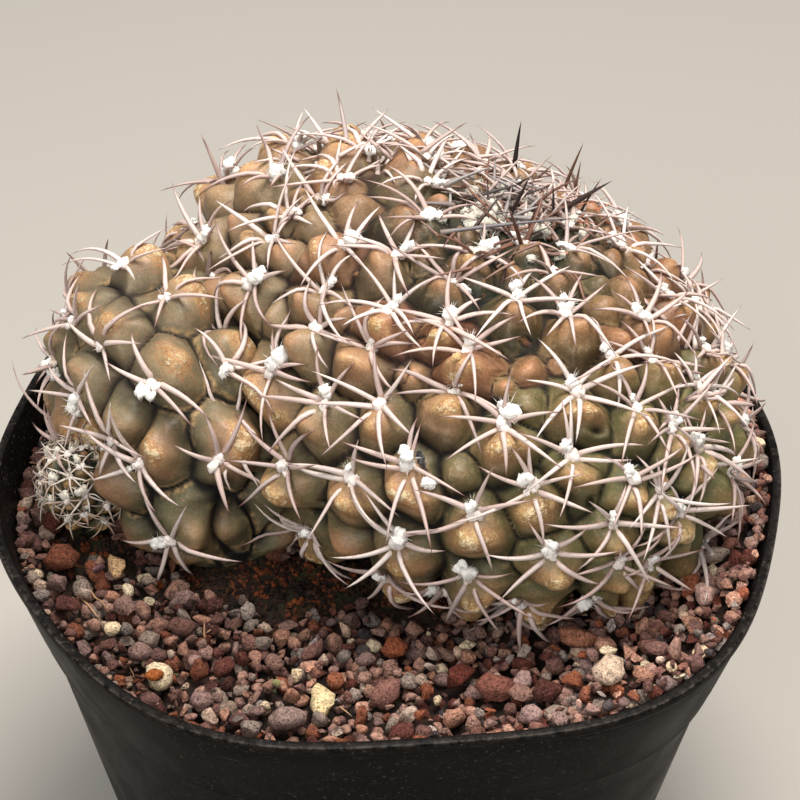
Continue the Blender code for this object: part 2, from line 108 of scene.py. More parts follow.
def bareness(x: Array, y: Array) -> Array:
    """How bare of grit the damp soil is along the feet of the heads, from nought to one.

    Args:
        x: Places over the bed, across.
        y: The same, in depth.

    Returns:
        How bare each is.
    """
    wander = 2.5 * MM * np.sin(x / (4.1 * MM)) + 1.6 * MM * np.sin(x / (1.7 * MM) + 1)
    under = np.exp(-((x + 8 * MM) / (34 * MM)) ** 4 - ((y + 25 * MM + wander) / (11 * MM)) ** 4)
    beside = np.exp(-((x + 57 * MM) / (9 * MM)) ** 4 - ((y + 17 * MM + wander) / (6 * MM)) ** 4)
    return np.maximum(under, beside)


def unit(vectors: Array) -> Array:
    """Vectors brought to a length of one."""
    return vectors / np.maximum(np.linalg.norm(vectors, axis=-1, keepdims=True), 1e-12)


def golden_turn(number: int) -> float:
    """The angle of one place in a spiral in which each is the golden angle on from the last."""
    return number * math.pi * (3 - math.sqrt(5))


def any_turn(draw: np.random.Generator) -> Array:
    """A turn by any angle about any axis."""
    return np.array(Matrix.Rotation(draw.uniform(0, 6.28), 3, draw.normal(0, 1, 3).tolist()))


def plumb(tree: BVHTree, x: float, y: float) -> tuple[Array, Array]:
    """Where a plumb line meets a surface, and how the surface faces there."""
    spot, facing, _, _ = tree.ray_cast(Vector((x, y, 1.0)), Vector((0, 0, -1)))
    return np.array(spot), np.array(facing)


def coordinates(mesh: Mesh) -> Array:
    """The places of a mesh's vertices, one row each.

    Args:
        mesh: The mesh.

    Returns:
        The places, in metres.
    """
    flat = np.empty(len(mesh.vertices) * 3, np.float32)
    mesh.vertices.foreach_get("co", flat)
    return flat.reshape(-1, 3).astype(float)


def move_vertices(mesh: Mesh, places: Array) -> None:
    """Puts a mesh's vertices at new places."""
    mesh.vertices.foreach_set("co", places.astype(np.float32).ravel())
    mesh.update()


def set_values(mesh: Mesh, name: str, values: Array) -> None:
    """Stores a number, or a colour as a row of four, for each vertex, for the materials to read."""
    kind, key = ("FLOAT", "value") if values.ndim == 1 else ("FLOAT_COLOR", "color")
    mesh.attributes.new(name, kind, "POINT").data.foreach_set(key, values.astype(np.float32).ravel())


def clouds(points: Array, grain: float, shift: float = 0.0) -> Array:
    """Smooth noise between about -1 and 1 at each point.

    Args:
        points: Places, one row each.
        grain: The size of the noise's lumps.
        shift: Moves the pattern, so that two layers differ.

    Returns:
        One number for each point.
    """
    return np.array([noise.noise(row) for row in (points / grain + shift).tolist()])


def finish_mesh(bm: BMesh, name: str) -> Mesh:
    """Turns a bmesh into a mesh, shaded smooth, and frees it.

    Args:
        bm: The bmesh.
        name: The mesh's name.

    Returns:
        The mesh.
    """
    mesh = bpy.data.meshes.new(name)
    bm.to_mesh(mesh)
    bm.free()
    mesh.shade_smooth()
    return mesh


def add_object(name: str, data: bpy.types.ID) -> Object:
    """Adds an object to the scene.

    Args:
        name: The object's name.
        data: What it shows.

    Returns:
        The object.
    """
    obj = bpy.data.objects.new(name, data)
    bpy.context.scene.collection.objects.link(obj)
    return obj


def add_piece(name: str, mesh: Mesh, material: Material,
              replaced: Sequence[str] = ()) -> Object:
    """Adds a finished piece that rides with the object.

    Args:
        name: The piece's name.
        mesh: Its mesh, already in place.
        material: Its material.
        replaced: The nodes that it stands for.

    Returns:
        The new object.
    """
    obj = add_object(name, mesh)
    mesh.materials.clear()
    mesh.materials.append(material)
    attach(obj, BODY)
    if replaced:
        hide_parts(*replaced)
    log.info("%s: %d faces", name, len(mesh.polygons))
    return obj


def repeated(templates: Sequence[Mesh], name: str) -> Mesh:
    """One mesh that holds the templates in order, every copy still at its template's own place.

    Args:
        templates: A mesh for each copy.
        name: The new mesh's name.

    Returns:
        The mesh.
    """
    bm = bmesh.new()
    for template in templates:
        bm.from_mesh(template)
    return finish_mesh(bm, name)


def grow_ring(bm: BMesh, edges: Sequence[BMEdge]) -> tuple[list, list]:
    """Extrudes an open ring of edges in place, and gives the vertices and the edges of the new ring.

    Args:
        bm: The bmesh.
        edges: The ring to extrude.

    Returns:
        The new ring's vertices and its edges.
    """
    grown = bmesh.ops.extrude_edge_only(bm, edges=edges)["geom"]
    ring = [item for item in grown if isinstance(item, BMVert)]
    return ring, [item for item in grown if isinstance(item, BMEdge) and item.is_boundary]


def quad_ball(divisions: Sequence[int]) -> BMesh:
    """A ball of even squares and radius one, cut from a cube whose edges are divided pass after pass.

    Args:
        divisions: How many parts an edge gets in each pass.

    Returns:
        The ball.
    """
    bm = bmesh.new()
    bmesh.ops.create_cube(bm, size=2)
    for parts in divisions:
        bmesh.ops.subdivide_edges(bm, edges=bm.edges, cuts=parts - 1, use_grid_fill=True)
    for vert in bm.verts:
        vert.co = Vector([math.tan(c * math.pi / 4) for c in vert.co]).normalized()
    return bm


def lumpy_ball(name: str, subdivisions: int, radius: float, layers: Sequence[Spot],
               shift: Vector = Vector()) -> Mesh:
    """A ball that layers of noise make uneven.

    Args:
        name: The mesh's name.
        subdivisions: How finely the ball is cut.
        radius: Its mean radius.
        layers: For each layer of noise its depth and how fast it changes.
        shift: Moves the noise, so that two balls differ.

    Returns:
        The new mesh.
    """
    bm = bmesh.new()
    bmesh.ops.create_icosphere(bm, subdivisions=subdivisions, radius=1)
    for vert in bm.verts:
        vert.co *= sum((depth * noise.noise(vert.co * pace + shift) for depth, pace in layers), start=radius)
    return finish_mesh(bm, name)


class Paint:
    """A material under construction: its colour is laid coat over coat, and then joined to the shader.

    Wherever a value is asked for, it may be a number, a screen colour or another node's socket.
    """

    def __init__(self, name: str, coat: object = None) -> None:
        """Starts a material with a Principled shader and a first coat.

        Args:
            name: The material's name.
            coat: Its first colour.
        """
        self.material = bpy.data.materials.new(name)
        self.material.use_nodes = True
        self.tree = self.material.node_tree
        self.place = self.node("TexCoord", {}).outputs["Object"]
        self.coat = coat

    def feed(self, socket: NodeSocket, value: object) -> None:
        """Joins a socket to another one, or gives it a screen colour, a list or a number.

        Args:
            socket: The input.
            value: What it gets.
        """
        if isinstance(value, NodeSocket):
            self.tree.links.new(value, socket)
        else:
            socket.default_value = linear(value) if isinstance(value, tuple) else value

    def node(self, kind: str, fed: dict[object, object], **settings: str) -> bpy.types.Node:
        """Adds a shader node.

        Args:
            kind: Its kind, as Blender names it after ShaderNode.
            fed: What its inputs get, by their names or numbers.
            settings: Its own settings.

        Returns:
            The new node.
        """
        node = self.tree.nodes.new("ShaderNode" + kind)
        for name, value in settings.items():
            setattr(node, name, value)
        for key, value in fed.items():
            self.feed(node.inputs[key], value)
        return node

    def stored(self, name: str, output: str = "Fac") -> NodeSocket:
        """A number stored on the mesh, or a colour where the output is Color."""
        return self.node("Attribute", {}, attribute_name=name).outputs[output]

    def noise(self, grain: float, detail: float = 3.0, roughness: float = 0.55, stretch: Sizes = (1, 1, 1),
              warp: float = 0.0) -> NodeSocket:
        """Clouds of noise on the piece's own coordinates.

        Args:
            grain: The size of a lump in mm.
            detail: How many finer layers there are.
            roughness: How strong the finer layers are.
            stretch: How much longer the lumps are along each axis.
            warp: How much the pattern is bent by itself.

        Returns:
            A socket from 0 to 1.
        """
        mapped = self.node("Mapping", {"Vector": self.place, "Scale": [1 / s for s in stretch]}).outputs[0]
        return self.node("TexNoise", {"Vector": mapped, "Scale": 1 / (grain * MM), "Detail": detail,
                                      "Roughness": roughness, "Distortion": warp}).outputs["Fac"]

    def cells(self, grain: float) -> NodeSocket:
        """The distance to the nearest of many scattered points, a grain in mm apart."""
        return self.node("TexVoronoi", {"Vector": self.place, "Scale": 1 / (grain * MM)}).outputs["Distance"]

    def maths(self, operation: str, first: object, second: object = 0.0) -> NodeSocket:
        """One sum on two values."""
        return self.node("Math", {0: first, 1: second}, operation=operation).outputs[0]

    def plus(self, first: object, second: object) -> NodeSocket:
        """Two values added."""
        return self.maths("ADD", first, second)

    def times(self, first: object, second: object) -> NodeSocket:
        """Two values multiplied."""
        return self.maths("MULTIPLY", first, second)

    def astray(self, value: object, clouds_of: object, amount: float) -> NodeSocket:
        """A value led astray, up and down, by clouds that go from 0 to 1."""
        return self.plus(value, self.times(self.maths("SUBTRACT", clouds_of, 0.5), amount))

    def step(self, value: object, low: float, high: float, start: float = 0.0,
             end: float = 1.0) -> NodeSocket:
        """A soft step from start to end while the value goes from low to high."""
        return self.node("MapRange", {"Value": value, "From Min": low, "From Max": high, "To Min": start,
                                      "To Max": end}, interpolation_type="SMOOTHSTEP").outputs["Result"]

    def blend(self, share: object, first: object, second: object, mode: str = "MIX") -> NodeSocket:
        """Two colours mixed by a share."""
        return self.node("Mix", {"Factor": share, 6: first, 7: second}, data_type="RGBA",
                         blend_type=mode).outputs[2]

    def cover(self, share: object, colour: object) -> None:
        """Lays a coat over the earlier ones, as thick as the share."""
        self.coat = self.blend(share, self.coat, colour)

    def shade(self, factor: object) -> None:
        """Darkens or lightens the coats by a factor."""
        self.coat = self.blend(1.0, self.coat, factor, "MULTIPLY")

    def bump(self, height: NodeSocket, depth: float, strength: float = 1.0,
             below: Optional[NodeSocket] = None) -> NodeSocket:
        """Small relief from a height of 0 to 1, its depth in mm, over an earlier one if there is one.

        Args:
            height: The relief.
            depth: How deep it is, in mm.
            strength: How much of it shows.
            below: The earlier relief.

        Returns:
            The relief, as a normal.
        """
        fed = {"Height": height, "Distance": depth * MM, "Strength": strength}
        if below is not None:
            fed["Normal"] = below
        return self.node("Bump", fed).outputs["Normal"]

    def finished(self, roughness: object, relief: Optional[NodeSocket] = None,
                 **constants: object) -> Material:
        """Joins the coats to the shader.

        Args:
            roughness: How rough the surface is.
            relief: Its small relief, from bump.
            constants: Sockets of the shader that are the same all over the piece.

        Returns:
            The material.
        """
        inputs = self.tree.nodes["Principled BSDF"].inputs
        self.feed(inputs["Base Color"], self.coat)
        self.feed(inputs["Roughness"], roughness)
        if relief is not None:
            self.feed(inputs["Normal"], relief)
        for name, value in constants.items():
            inputs[name.replace("_", " ").title().replace("Ior", "IOR")].default_value = value
        return self.material


@dataclass(frozen=True)
class SkinFinish:
    """Waxy olive skin with tan flushes, greener valleys and corky scars under the areoles. The valleys' dark
    colour is partly the skin's own and partly painted shade, and painted shade darkens the creases and lower
    lobes further.
    """
    name: str
    valley_and_shade: Colour
    olive: Colour
    brown: Colour
    green: Colour
    deep: Colour
    ruddy: Colour
    flush: Colour
    fair: Colour
    gold: Colour
    cork: Colour
    scar: Colour
    seams: float = 0.3

    def material(self) -> Material:
        """Builds the skin from what the mesh stores for each tubercle: its mound, the share of its lower
        lobes, its cork and its flushes, with painted shade in the creases and on the lower lobes.

        Returns:
            The skin.
        """
        paint = Paint(self.name, self.valley_and_shade)
        broad = paint.noise(8, 3)
        fine = paint.noise(1.3, 4, 0.6)
        speck = paint.noise(0.4, 3, 0.6)
        mound = paint.stored("mound")
        cork = paint.stored("cork")
        lift = paint.astray(mound, broad, 0.7)
        # Where the mound is low the colour of the valleys shows: partly the skin's own darker colour and
        # partly painted shade.
        paint.cover(paint.step(lift, 0.0, 0.6), self.olive)
        warmth = paint.astray(paint.stored("tone"), broad, 1.6)
        paint.cover(paint.times(paint.step(warmth, 0.3, 0.8), paint.step(lift, 0.35, 0.95)), self.brown)
        paint.cover(paint.times(paint.stored("green"), paint.step(broad, 0.25, 0.6)), self.green)
        # Young skin round the crown is painted dark green: partly its own colour and partly painted shade
        # under the crowded crown spines.
        paint.cover(paint.step(paint.stored("young"), 0.0, 0.35, 0.0, 0.92), self.deep)
        paint.cover(paint.times(paint.stored("ruddy"), 0.8), self.ruddy)
        soft = paint.noise(3, 3, 0.5)
        paint.cover(paint.times(paint.stored("flush"), paint.step(soft, 0.3, 0.65, 0.35, 1.0)), self.flush)
        paint.cover(paint.times(paint.stored("fair"), 0.45), self.fair)
        crease = paint.times(paint.step(mound, 0.06, 0.16), paint.step(mound, 0.2, 0.42, self.seams, 0.0))
        patchy = paint.times(paint.step(broad, 0.47, 0.58), paint.step(fine, 0.35, 0.6, 0.2, 1.0))
        paint.cover(paint.times(crease, patchy), self.gold)
        streak = paint.noise(1.3, 3, 0.6, stretch=(1, 1, 2.4))
        glow = paint.times(paint.step(cork, 0.1, 0.65, 0.0, 0.85), paint.step(streak, 0.34, 0.58, 0.15, 1.0))
        paint.cover(glow, self.gold)
        ragged = paint.astray(cork, fine, 2.2)
        brink = paint.times(paint.step(ragged, 0.3, 0.48, 0.0, 0.6), paint.step(ragged, 0.5, 0.7, 1.0, 0.0))
        paint.cover(brink, self.scar)
        corky = paint.step(ragged, 0.5, 0.95, 0.0, 0.85)
        grainy = paint.astray(fine, speck, 0.5)
        paint.cover(corky, paint.blend(paint.step(grainy, 0.3, 0.7), self.scar, self.cork))
        dusty = paint.times(paint.step(grainy, 0.46, 0.66, 0.0, 0.22), paint.step(lift, 0.25, 0.8))
        paint.cover(dusty, self.fair)
        dots = paint.step(paint.cells(0.55), 0.1, 0.32, 1.12, 0.97)
        mottle = paint.times(paint.step(speck, 0.3, 0.7, 0.84, 1.12), dots)
        # Painted shade: darker in the creases where the mound is low, and on each tubercle's lower lobes.
        crease_and_lobe_shade = paint.times(paint.step(mound, 0.0, 0.34, 0.14, 1.0),
                             paint.step(paint.stored("lobe"), 0.0, 1.0, 1.0, 0.55))
        paint.shade(paint.times(mottle, crease_and_lobe_shade))
        gloss = paint.plus(paint.step(fine, 0.3, 0.7, 0.40, 0.52), paint.step(mound, 0.1, 0.6, 0.4, 0.0))
        leather = paint.bump(paint.noise(0.7, 4, 0.6), 0.12, 0.6)
        crust = paint.bump(paint.times(paint.noise(0.5, 4, 0.7), corky), 0.4, 1.0, leather)
        return paint.finished(paint.plus(gloss, paint.times(corky, 0.25)), crust, specular_ior_level=0.33)


@dataclass(frozen=True)
class SpineFinish:
    """Chalky spines, pinkish white along most of their length and brown at the tip, darker along their sides:
    partly brownish edges of their own and partly painted shade.
    """
    name: str
    edge: Colour
    foot: Colour
    pale: Colour
    rosy: Colour
    grey: Colour
    tip: Colour
    young: Colour

    def material(self) -> Material:
        """Builds the finish from what the mesh stores: along, flank, tone and youth; the flank sets the
        painted shade along the sides.

        Returns:
            The finish.
        """
        paint = Paint(self.name, self.pale)
        along = paint.stored("along")
        tone = paint.stored("tone")
        streak = paint.noise(0.7, 4, 0.65)
        paint.cover(paint.step(tone, 0.1, 0.75), self.rosy)
        paint.cover(paint.step(tone, 0.72, 1.0), self.grey)
        paint.cover(paint.step(streak, 0.45, 0.75, 0.0, 0.6), self.rosy)
        # Darker along the spine's sides: partly brownish edges and partly painted shade.
        edge = paint.astray(paint.maths("ABSOLUTE", paint.stored("flank")), streak, 0.8)
        paint.cover(paint.step(edge, 0.5, 1.0, 0.0, 0.55), self.edge)
        paint.cover(paint.step(along, 0.0, 0.16, 0.7, 0.0), self.foot)
        paint.cover(paint.step(paint.astray(along, tone, 0.25), 0.72, 0.98, 0.0, 0.9), self.tip)
        paint.cover(paint.times(paint.stored("youth"), paint.step(streak, 0.2, 0.7, 1.0, 0.75)), self.young)
        grain = paint.bump(paint.noise(0.35, 3, 0.6), 0.06, 0.6)
        return paint.finished(0.5, grain, subsurface_weight=0.08, subsurface_scale=1.0,
                              subsurface_radius=(0.5 * MM, 0.4 * MM, 0.3 * MM))


@dataclass(frozen=True)
class WoolFinish:
    """Matted felt, a little stained."""
    name: str
    clean: Colour
    stained: Colour

    def material(self) -> Material:
        """Builds felt with a stain that the mesh's tone adds to.

        Returns:
            The felt.
        """
        paint = Paint(self.name, self.clean)
        blot = paint.plus(paint.noise(1.4, 3), paint.stored("tone"))
        paint.cover(paint.step(blot, 0.75, 1.25), self.stained)
        nap = paint.bump(paint.noise(0.3, 4, 0.7), 0.25, 0.9)
        return paint.finished(0.95, nap, sheen_weight=0.3)


@dataclass(frozen=True)
class StoneFinish:
    """Dull volcanic grit in the colour that each stone stores, with pits darkened by painted shade, and dust.
    """
    name: str
    dust: Colour

    def material(self) -> Material:
        """Builds the stone's mottling, pits with their painted shade, and dust.

        Returns:
            The stone.
        """
        paint = Paint(self.name)
        paint.coat = paint.stored("tint", "Color")
        mottle = paint.noise(0.9, 4, 0.7)
        grain = paint.noise(0.3, 4, 0.7)
        pits = paint.step(paint.cells(0.62), 0.12, 0.42)
        paint.shade(paint.step(mottle, 0.25, 0.75, 0.55, 1.45))
        paint.shade(paint.step(grain, 0.3, 0.7, 0.7, 1.3))
        # Painted shade in the pits.
        paint.shade(paint.step(pits, 0.0, 1.0, 0.62, 1.0))
        paint.cover(paint.step(grain, 0.56, 0.72, 0.0, 0.4), self.dust)
        pitted = paint.bump(pits, 0.3, 0.8, paint.bump(mottle, 0.6, 1.0))
        return paint.finished(0.95, paint.bump(grain, 0.25, 1.0, pitted), specular_ior_level=0.2)


@dataclass(frozen=True)
class SoilFinish:
    """Damp crumbly soil with patches of rust and moss."""
    name: str
    damp: Colour
    rusty: Colour
    orange: Colour
    mossy: Colour

    def material(self) -> Material:
        """Builds the soil from noise, and its moss and rust from what the mesh stores.

        Returns:
            The soil.
        """
        paint = Paint(self.name, self.damp)
        crumb = paint.noise(1.3, 5, 0.7)
        patch = paint.noise(5, 3, 0.6)
        blot = paint.noise(7, 4, 0.65, warp=0.6)
        damp = paint.stored("moss")
        paint.cover(paint.step(crumb, 0.45, 0.7), self.rusty)
        bright = paint.times(paint.step(blot, 0.54, 0.64), paint.step(crumb, 0.4, 0.6))
        paint.cover(paint.times(bright, damp), self.orange)
        paint.cover(paint.times(damp, paint.step(patch, 0.5, 0.6, 0.0, 0.8)), self.mossy)
        rough = paint.step(crumb, 0.3, 0.7, 0.7, 0.95)
        return paint.finished(rough, paint.bump(crumb, 1.0, 1.0), specular_ior_level=0.25)


@dataclass(frozen=True)
class PlasticFinish:
    """Moulded black plastic, dusty, with fine scratches and a worn lip, its outer edge rubbed pale: partly
    wear and partly a painted highlight.
    """
    name: str
    black: Colour
    scuffed: Colour
    dust: Colour

    def material(self) -> Material:
        """Builds the plastic from its grain, scratches and dust, and the lip's rubbed edge with its painted
        highlight.

        Returns:
            The plastic.
        """
        paint = Paint(self.name, self.black)
        smudge = paint.noise(14, 4, 0.6)
        speck = paint.noise(0.9, 3, 0.6)
        scratch = paint.noise(0.5, 3, 0.7, stretch=(1, 1, 22))
        hair = paint.noise(0.4, 2, 0.7, stretch=(14, 14, 1), warp=0.4)
        paint.cover(paint.step(smudge, 0.45, 0.75, 0.0, 0.7), self.scuffed)
        marks = paint.maths("MAXIMUM", paint.step(scratch, 0.64, 0.72, 0.0, 0.4),
                            paint.step(hair, 0.65, 0.73, 0.0, 0.5))
        motes = paint.times(paint.step(speck, 0.62, 0.69), paint.step(smudge, 0.35, 0.65, 0.25, 0.9))
        # The lip's outer edge is rubbed pale: partly wear and partly a painted highlight.
        rubbed_and_highlit = paint.step(paint.noise(2, 4, 0.75), 0.4, 0.62, 0.0, 0.9)
        worn = paint.times(paint.stored("edge"), rubbed_and_highlit)
        for dusty in (marks, motes, worn):
            paint.cover(dusty, self.dust)
        rough = paint.plus(paint.step(smudge, 0.3, 0.7, 0.4, 0.55), paint.times(motes, 0.4))
        grain = paint.bump(paint.noise(0.5, 2), 0.03, 0.6)
        return paint.finished(rough, paint.bump(scratch, 0.04, 0.4, grain), specular_ior_level=0.06)


# The colour of each skin's valleys is partly its own and partly painted shade.
OLIVE_SKIN = SkinFinish(
    "olive_skin", valley_and_shade=(40, 34, 24), olive=(96, 89, 61), brown=(142, 108, 78), green=(98, 98, 60),
    deep=(38, 44, 30), ruddy=(128, 76, 54), flush=(190, 134, 92), fair=(178, 148, 118), gold=(204, 172, 118),
    cork=(234, 216, 174), scar=(140, 92, 54))
SIDE_SKIN = SkinFinish(
    "olive_skin_side", valley_and_shade=(40, 34, 26), olive=(96, 91, 66), brown=(128, 98, 72), green=(86, 92, 64),
    deep=(60, 68, 52), ruddy=(120, 78, 56), flush=(158, 118, 82), fair=(144, 124, 100), gold=(184, 152, 106),
    cork=(228, 208, 168), scar=(156, 100, 54), seams=0.9)
PUP_SKIN = SkinFinish(
    "young_skin", valley_and_shade=(34, 38, 28), olive=(62, 70, 48), brown=(94, 80, 52), green=(52, 68, 48),
    deep=(40, 52, 38), ruddy=(120, 76, 54), flush=(172, 120, 80), fair=(140, 112, 86), gold=(190, 152, 92),
    cork=(210, 184, 132), scar=(140, 92, 52))
# A spine finish's edge colour is laid along the spine's sides: partly brownish edges and partly painted
# shade.
OLD_SPINES = SpineFinish(
    "weathered_spines", edge=(150, 112, 104), foot=(204, 178, 161), pale=(213, 201, 194),
    rosy=(194, 171, 162), grey=(160, 146, 142), tip=(98, 58, 47), young=(122, 90, 76))
BROWN_SPINES = SpineFinish(
    "crown_spines_brown", edge=(84, 58, 48), foot=(150, 108, 84), pale=(132, 104, 90), rosy=(118, 78, 60),
    grey=(112, 102, 100), tip=(48, 32, 30), young=(96, 62, 48))
DARK_SPINES = SpineFinish(
    "crown_spines_dark", edge=(30, 22, 22), foot=(70, 44, 34), pale=(40, 30, 28), rosy=(58, 38, 32),
    grey=(34, 30, 31), tip=(22, 17, 18), young=(34, 25, 24))
GREY_SPINES = SpineFinish(
    "crown_spines_grey", edge=(74, 68, 68), foot=(146, 132, 120), pale=(146, 140, 138), rosy=(122, 106, 100),
    grey=(100, 97, 99), tip=(48, 40, 40), young=(110, 90, 82))
PUP_SPINES = SpineFinish(
    "pup_spines", edge=(112, 92, 82), foot=(190, 170, 150), pale=(208, 198, 186), rosy=(176, 152, 132),
    grey=(140, 134, 130), tip=(50, 36, 32), young=(120, 84, 62))
STRAW = SpineFinish(
    "dry_straw", edge=(120, 86, 60), foot=(150, 112, 76), pale=(186, 150, 112), rosy=(160, 122, 86),
    grey=(140, 110, 84), tip=(110, 76, 50), young=(150, 112, 76))
RUSTY_BITS = SpineFinish(
    "rusty_bits", edge=(112, 52, 30), foot=(150, 84, 50), pale=(176, 104, 62), rosy=(140, 72, 44),
    grey=(150, 112, 90), tip=(120, 58, 34), young=(140, 76, 48))
WHITE_WOOL = WoolFinish("areole_wool", clean=(245, 241, 234), stained=(218, 204, 186))
PUP_WOOL = WoolFinish("pup_wool", clean=(218, 210, 194), stained=(168, 146, 120))
FELT = WoolFinish("areole_felt", clean=(238, 226, 218), stained=(206, 170, 132))
CROWN_WOOL = WoolFinish("crown_wool", clean=(208, 202, 186), stained=(120, 116, 106))
DRY_BUD = WoolFinish("dry_bud", clean=(206, 166, 112), stained=(128, 84, 50))
MOSS = WoolFinish("moss", clean=(122, 114, 58), stained=(66, 62, 28))
DARK_SCRAP = WoolFinish("dark_scrap", clean=(20, 14, 14), stained=(48, 30, 26))
GRIT = StoneFinish("lava_grit", dust=(176, 150, 136))
SOIL_CRUMBS = StoneFinish("soil_crumbs", dust=(84, 56, 38))
SOIL = SoilFinish(
    "damp_soil", damp=(24, 16, 11), rusty=(62, 34, 21), orange=(124, 60, 26), mossy=(38, 38, 18))
BLACK_PLASTIC = PlasticFinish("black_plastic", black=(9, 7, 6), scuffed=(16, 13, 12), dust=(74, 67, 62))


@dataclass(frozen=True)
class Swelling:
    """A place where an old head stands out, or in where its height is negative."""
    turn: float
    fall: float
    height: float
    width: float


@dataclass
class Areoles:
    """The areoles of one head: where each lies, how it faces and how much skin is its own."""
    place: Array
    normal: Array
    crownward: Array
    side: Array
    size: Array
    reach: Array
    tone: Array
    spiny: Array

    def joined(self, other: "Areoles") -> "Areoles":
        """These areoles with others after them."""
        return Areoles(*(np.concatenate(pair) for pair in zip(vars(self).values(), vars(other).values())))


def soft_mark(up: Array, across: Array, at: float, tall: float, wide: float) -> Array:
    """A soft oval mark in the middle of a tubercle: one where it lies, and nought away from it."""
    return np.exp(-((up - at) / tall) ** 2 - (across / wide) ** 2)


@dataclass
class Head:
    """One head of the plant: an oval waist, with a crown and a root that may stand off its middle."""
    name: str
    waist: Sizes
    long_half: float
    short_half: float
    turn: float
    rise: float
    drop: float
    ribs: int
    steps: int
    count: int
    areole_area: float
    young: float
    seed: int
    divisions: tuple[int, ...]
    finish: SkinFinish
    cork_share: float
    crown_spot: Spot
    crown_pitch: float
    young_reach: float
    crown_count: int = 0
    lean: Spot = (0, 0)
    crown_shift: Spot = (0, 0)
    root_shift: Spot = (0, 0)
    swellings: tuple[Swelling, ...] = ()
    seen: tuple[tuple[int, int], ...] = ()
    knobs: tuple[tuple[int, int, float], ...] = ()
    corky_spots: tuple[tuple[float, float, float, float], ...] = ()
    growing_point: Optional[Sizes] = None
    ruddy_ring: Spot = (0.0, 1 * MM)
    stray: float = 0.05
    apart: float = 0.74
    spare_count: int = 48
    spare_room: float = 0.62
    spare_share: float = 0.62
    knob_tone: float = 0.85
    crease: float = 2.8
    dimple: float = 0.07
    dimple_width: float = 0.16
    tubercle_height: float = 0.42
    chin_drop: float = 0.33
    rib_pull: float = 1.1
    mean_mound: float = 0.48
    foot_share: float = 0.94
    fade_depth: float = 4 * MM
    points_at_once: int = 6000
    areoles: Areoles = field(init=False)
    tree: BVHTree = field(init=False)

    def lowest_angle(self) -> float:
        """The angle down from the crown at which the round form meets its neck."""
        return math.acos(-(self.waist[2] - SOIL_TOP - NECK_COLLAR) / self.drop)

    def form(self, turn: Array, fall: Array) -> Array:
        """The smooth form, without tubercles.

        Args:
            turn: Angles round the head.
            fall: Angles down from its crown.

        Returns:
            A point for each pair of angles.
        """
        turn, fall = np.broadcast_arrays(np.asarray(turn, float), np.asarray(fall, float))
        wide, high = np.sin(fall), np.cos(fall)
        upper = fall < math.pi / 2
        height = np.where(upper, self.rise, self.drop) * high
        crown = np.clip(1 - (fall / (math.pi / 2)) ** 1.3, 0, 1)
        root = ramp(fall, math.pi / 2, self.lowest_angle() - math.pi / 2) ** 1.5
        along = self.long_half * wide * np.cos(turn)
        across = self.short_half * wide * np.sin(turn)
        x = self.waist[0] + self.crown_shift[0] * crown + self.root_shift[0] * root
        y = self.waist[1] + self.crown_shift[1] * crown + self.root_shift[1] * root
        x = x + along * math.cos(self.turn) - across * math.sin(self.turn)
        y = y + along * math.sin(self.turn) + across * math.cos(self.turn)
        leaning = self.lean[0] * (x - self.waist[0]) + self.lean[1] * (y - self.waist[1])
        dimple = self.dimple * self.rise * np.exp(-(wide / self.dimple_width) ** 2) * upper
        z = self.waist[2] + height - dimple + np.where(upper, leaning * high, 0)
        for swelling in self.swellings:
            beside = wide * math.sin(swelling.fall) * np.cos(turn - swelling.turn)
            near = beside + high * math.cos(swelling.fall)
            bulge = swelling.height * np.exp((near - 1) / swelling.width ** 2)
            x = x + bulge * wide * np.cos(turn + self.turn)
            y = y + bulge * wide * np.sin(turn + self.turn)
            z = z + bulge * high
        return np.stack([x, y, z], -1)

    def frame_at(self, turn: Array, fall: Array) -> tuple[Array, Array, Array]:
        """The place, the outward normal and the direction to the crown at points of the form.

        Args:
            turn: Angles round the head.
            fall: Angles down from the crown.

        Returns:
            The three, one row a point.
        """
        place = self.form(turn, fall)
        fall = np.clip(fall, POLE, math.pi - POLE)
        small = 1e-3
        down = self.form(turn, fall + small) - self.form(turn, fall - small)
        round_it = self.form(turn + small, fall) - self.form(turn - small, fall)
        return place, unit(np.cross(down, round_it)), -unit(down)

    def ruled_areoles(self) -> tuple[Array, Array, Array]:
        """Areoles by the plant's own rule, each a fixed part of a turn on from the last, a little astray.

        Returns:
            Their angles round the head, their angles down from the crown and their sizes.
        """
        fall = np.linspace(0, self.lowest_angle(), 400)
        place = self.form(np.zeros_like(fall), np.clip(fall, POLE, math.pi))
        mean_half = math.sqrt((self.long_half ** 2 + self.short_half ** 2) / 2)
        step = np.linalg.norm(np.diff(place, axis=0), axis=1)
        girth = 2 * math.pi * mean_half * np.sin((fall[1:] + fall[:-1]) / 2)
        area = np.concatenate([[0], np.cumsum(step * girth)])
        number = np.arange(self.count)
        share = self.areole_area * (1 - np.exp(-(number + 1.5) / self.young))
        reached = np.cumsum(share) - share / 2
        inside = reached < area[-1]
        size = np.sqrt(share[inside])
        falls = np.interp(reached[inside], area, fall)
        turns = number[inside] * 2 * math.pi * self.steps / self.ribs
        draw = np.random.default_rng(self.seed)
        girths = np.maximum(mean_half * np.sin(falls), 3 * MM)
        turns = turns + draw.normal(0, self.stray, len(size)) * size / girths
        falls = falls + draw.normal(0, self.stray, len(size)) * size / mean_half
        return turns, np.clip(falls, POLE, math.pi), size

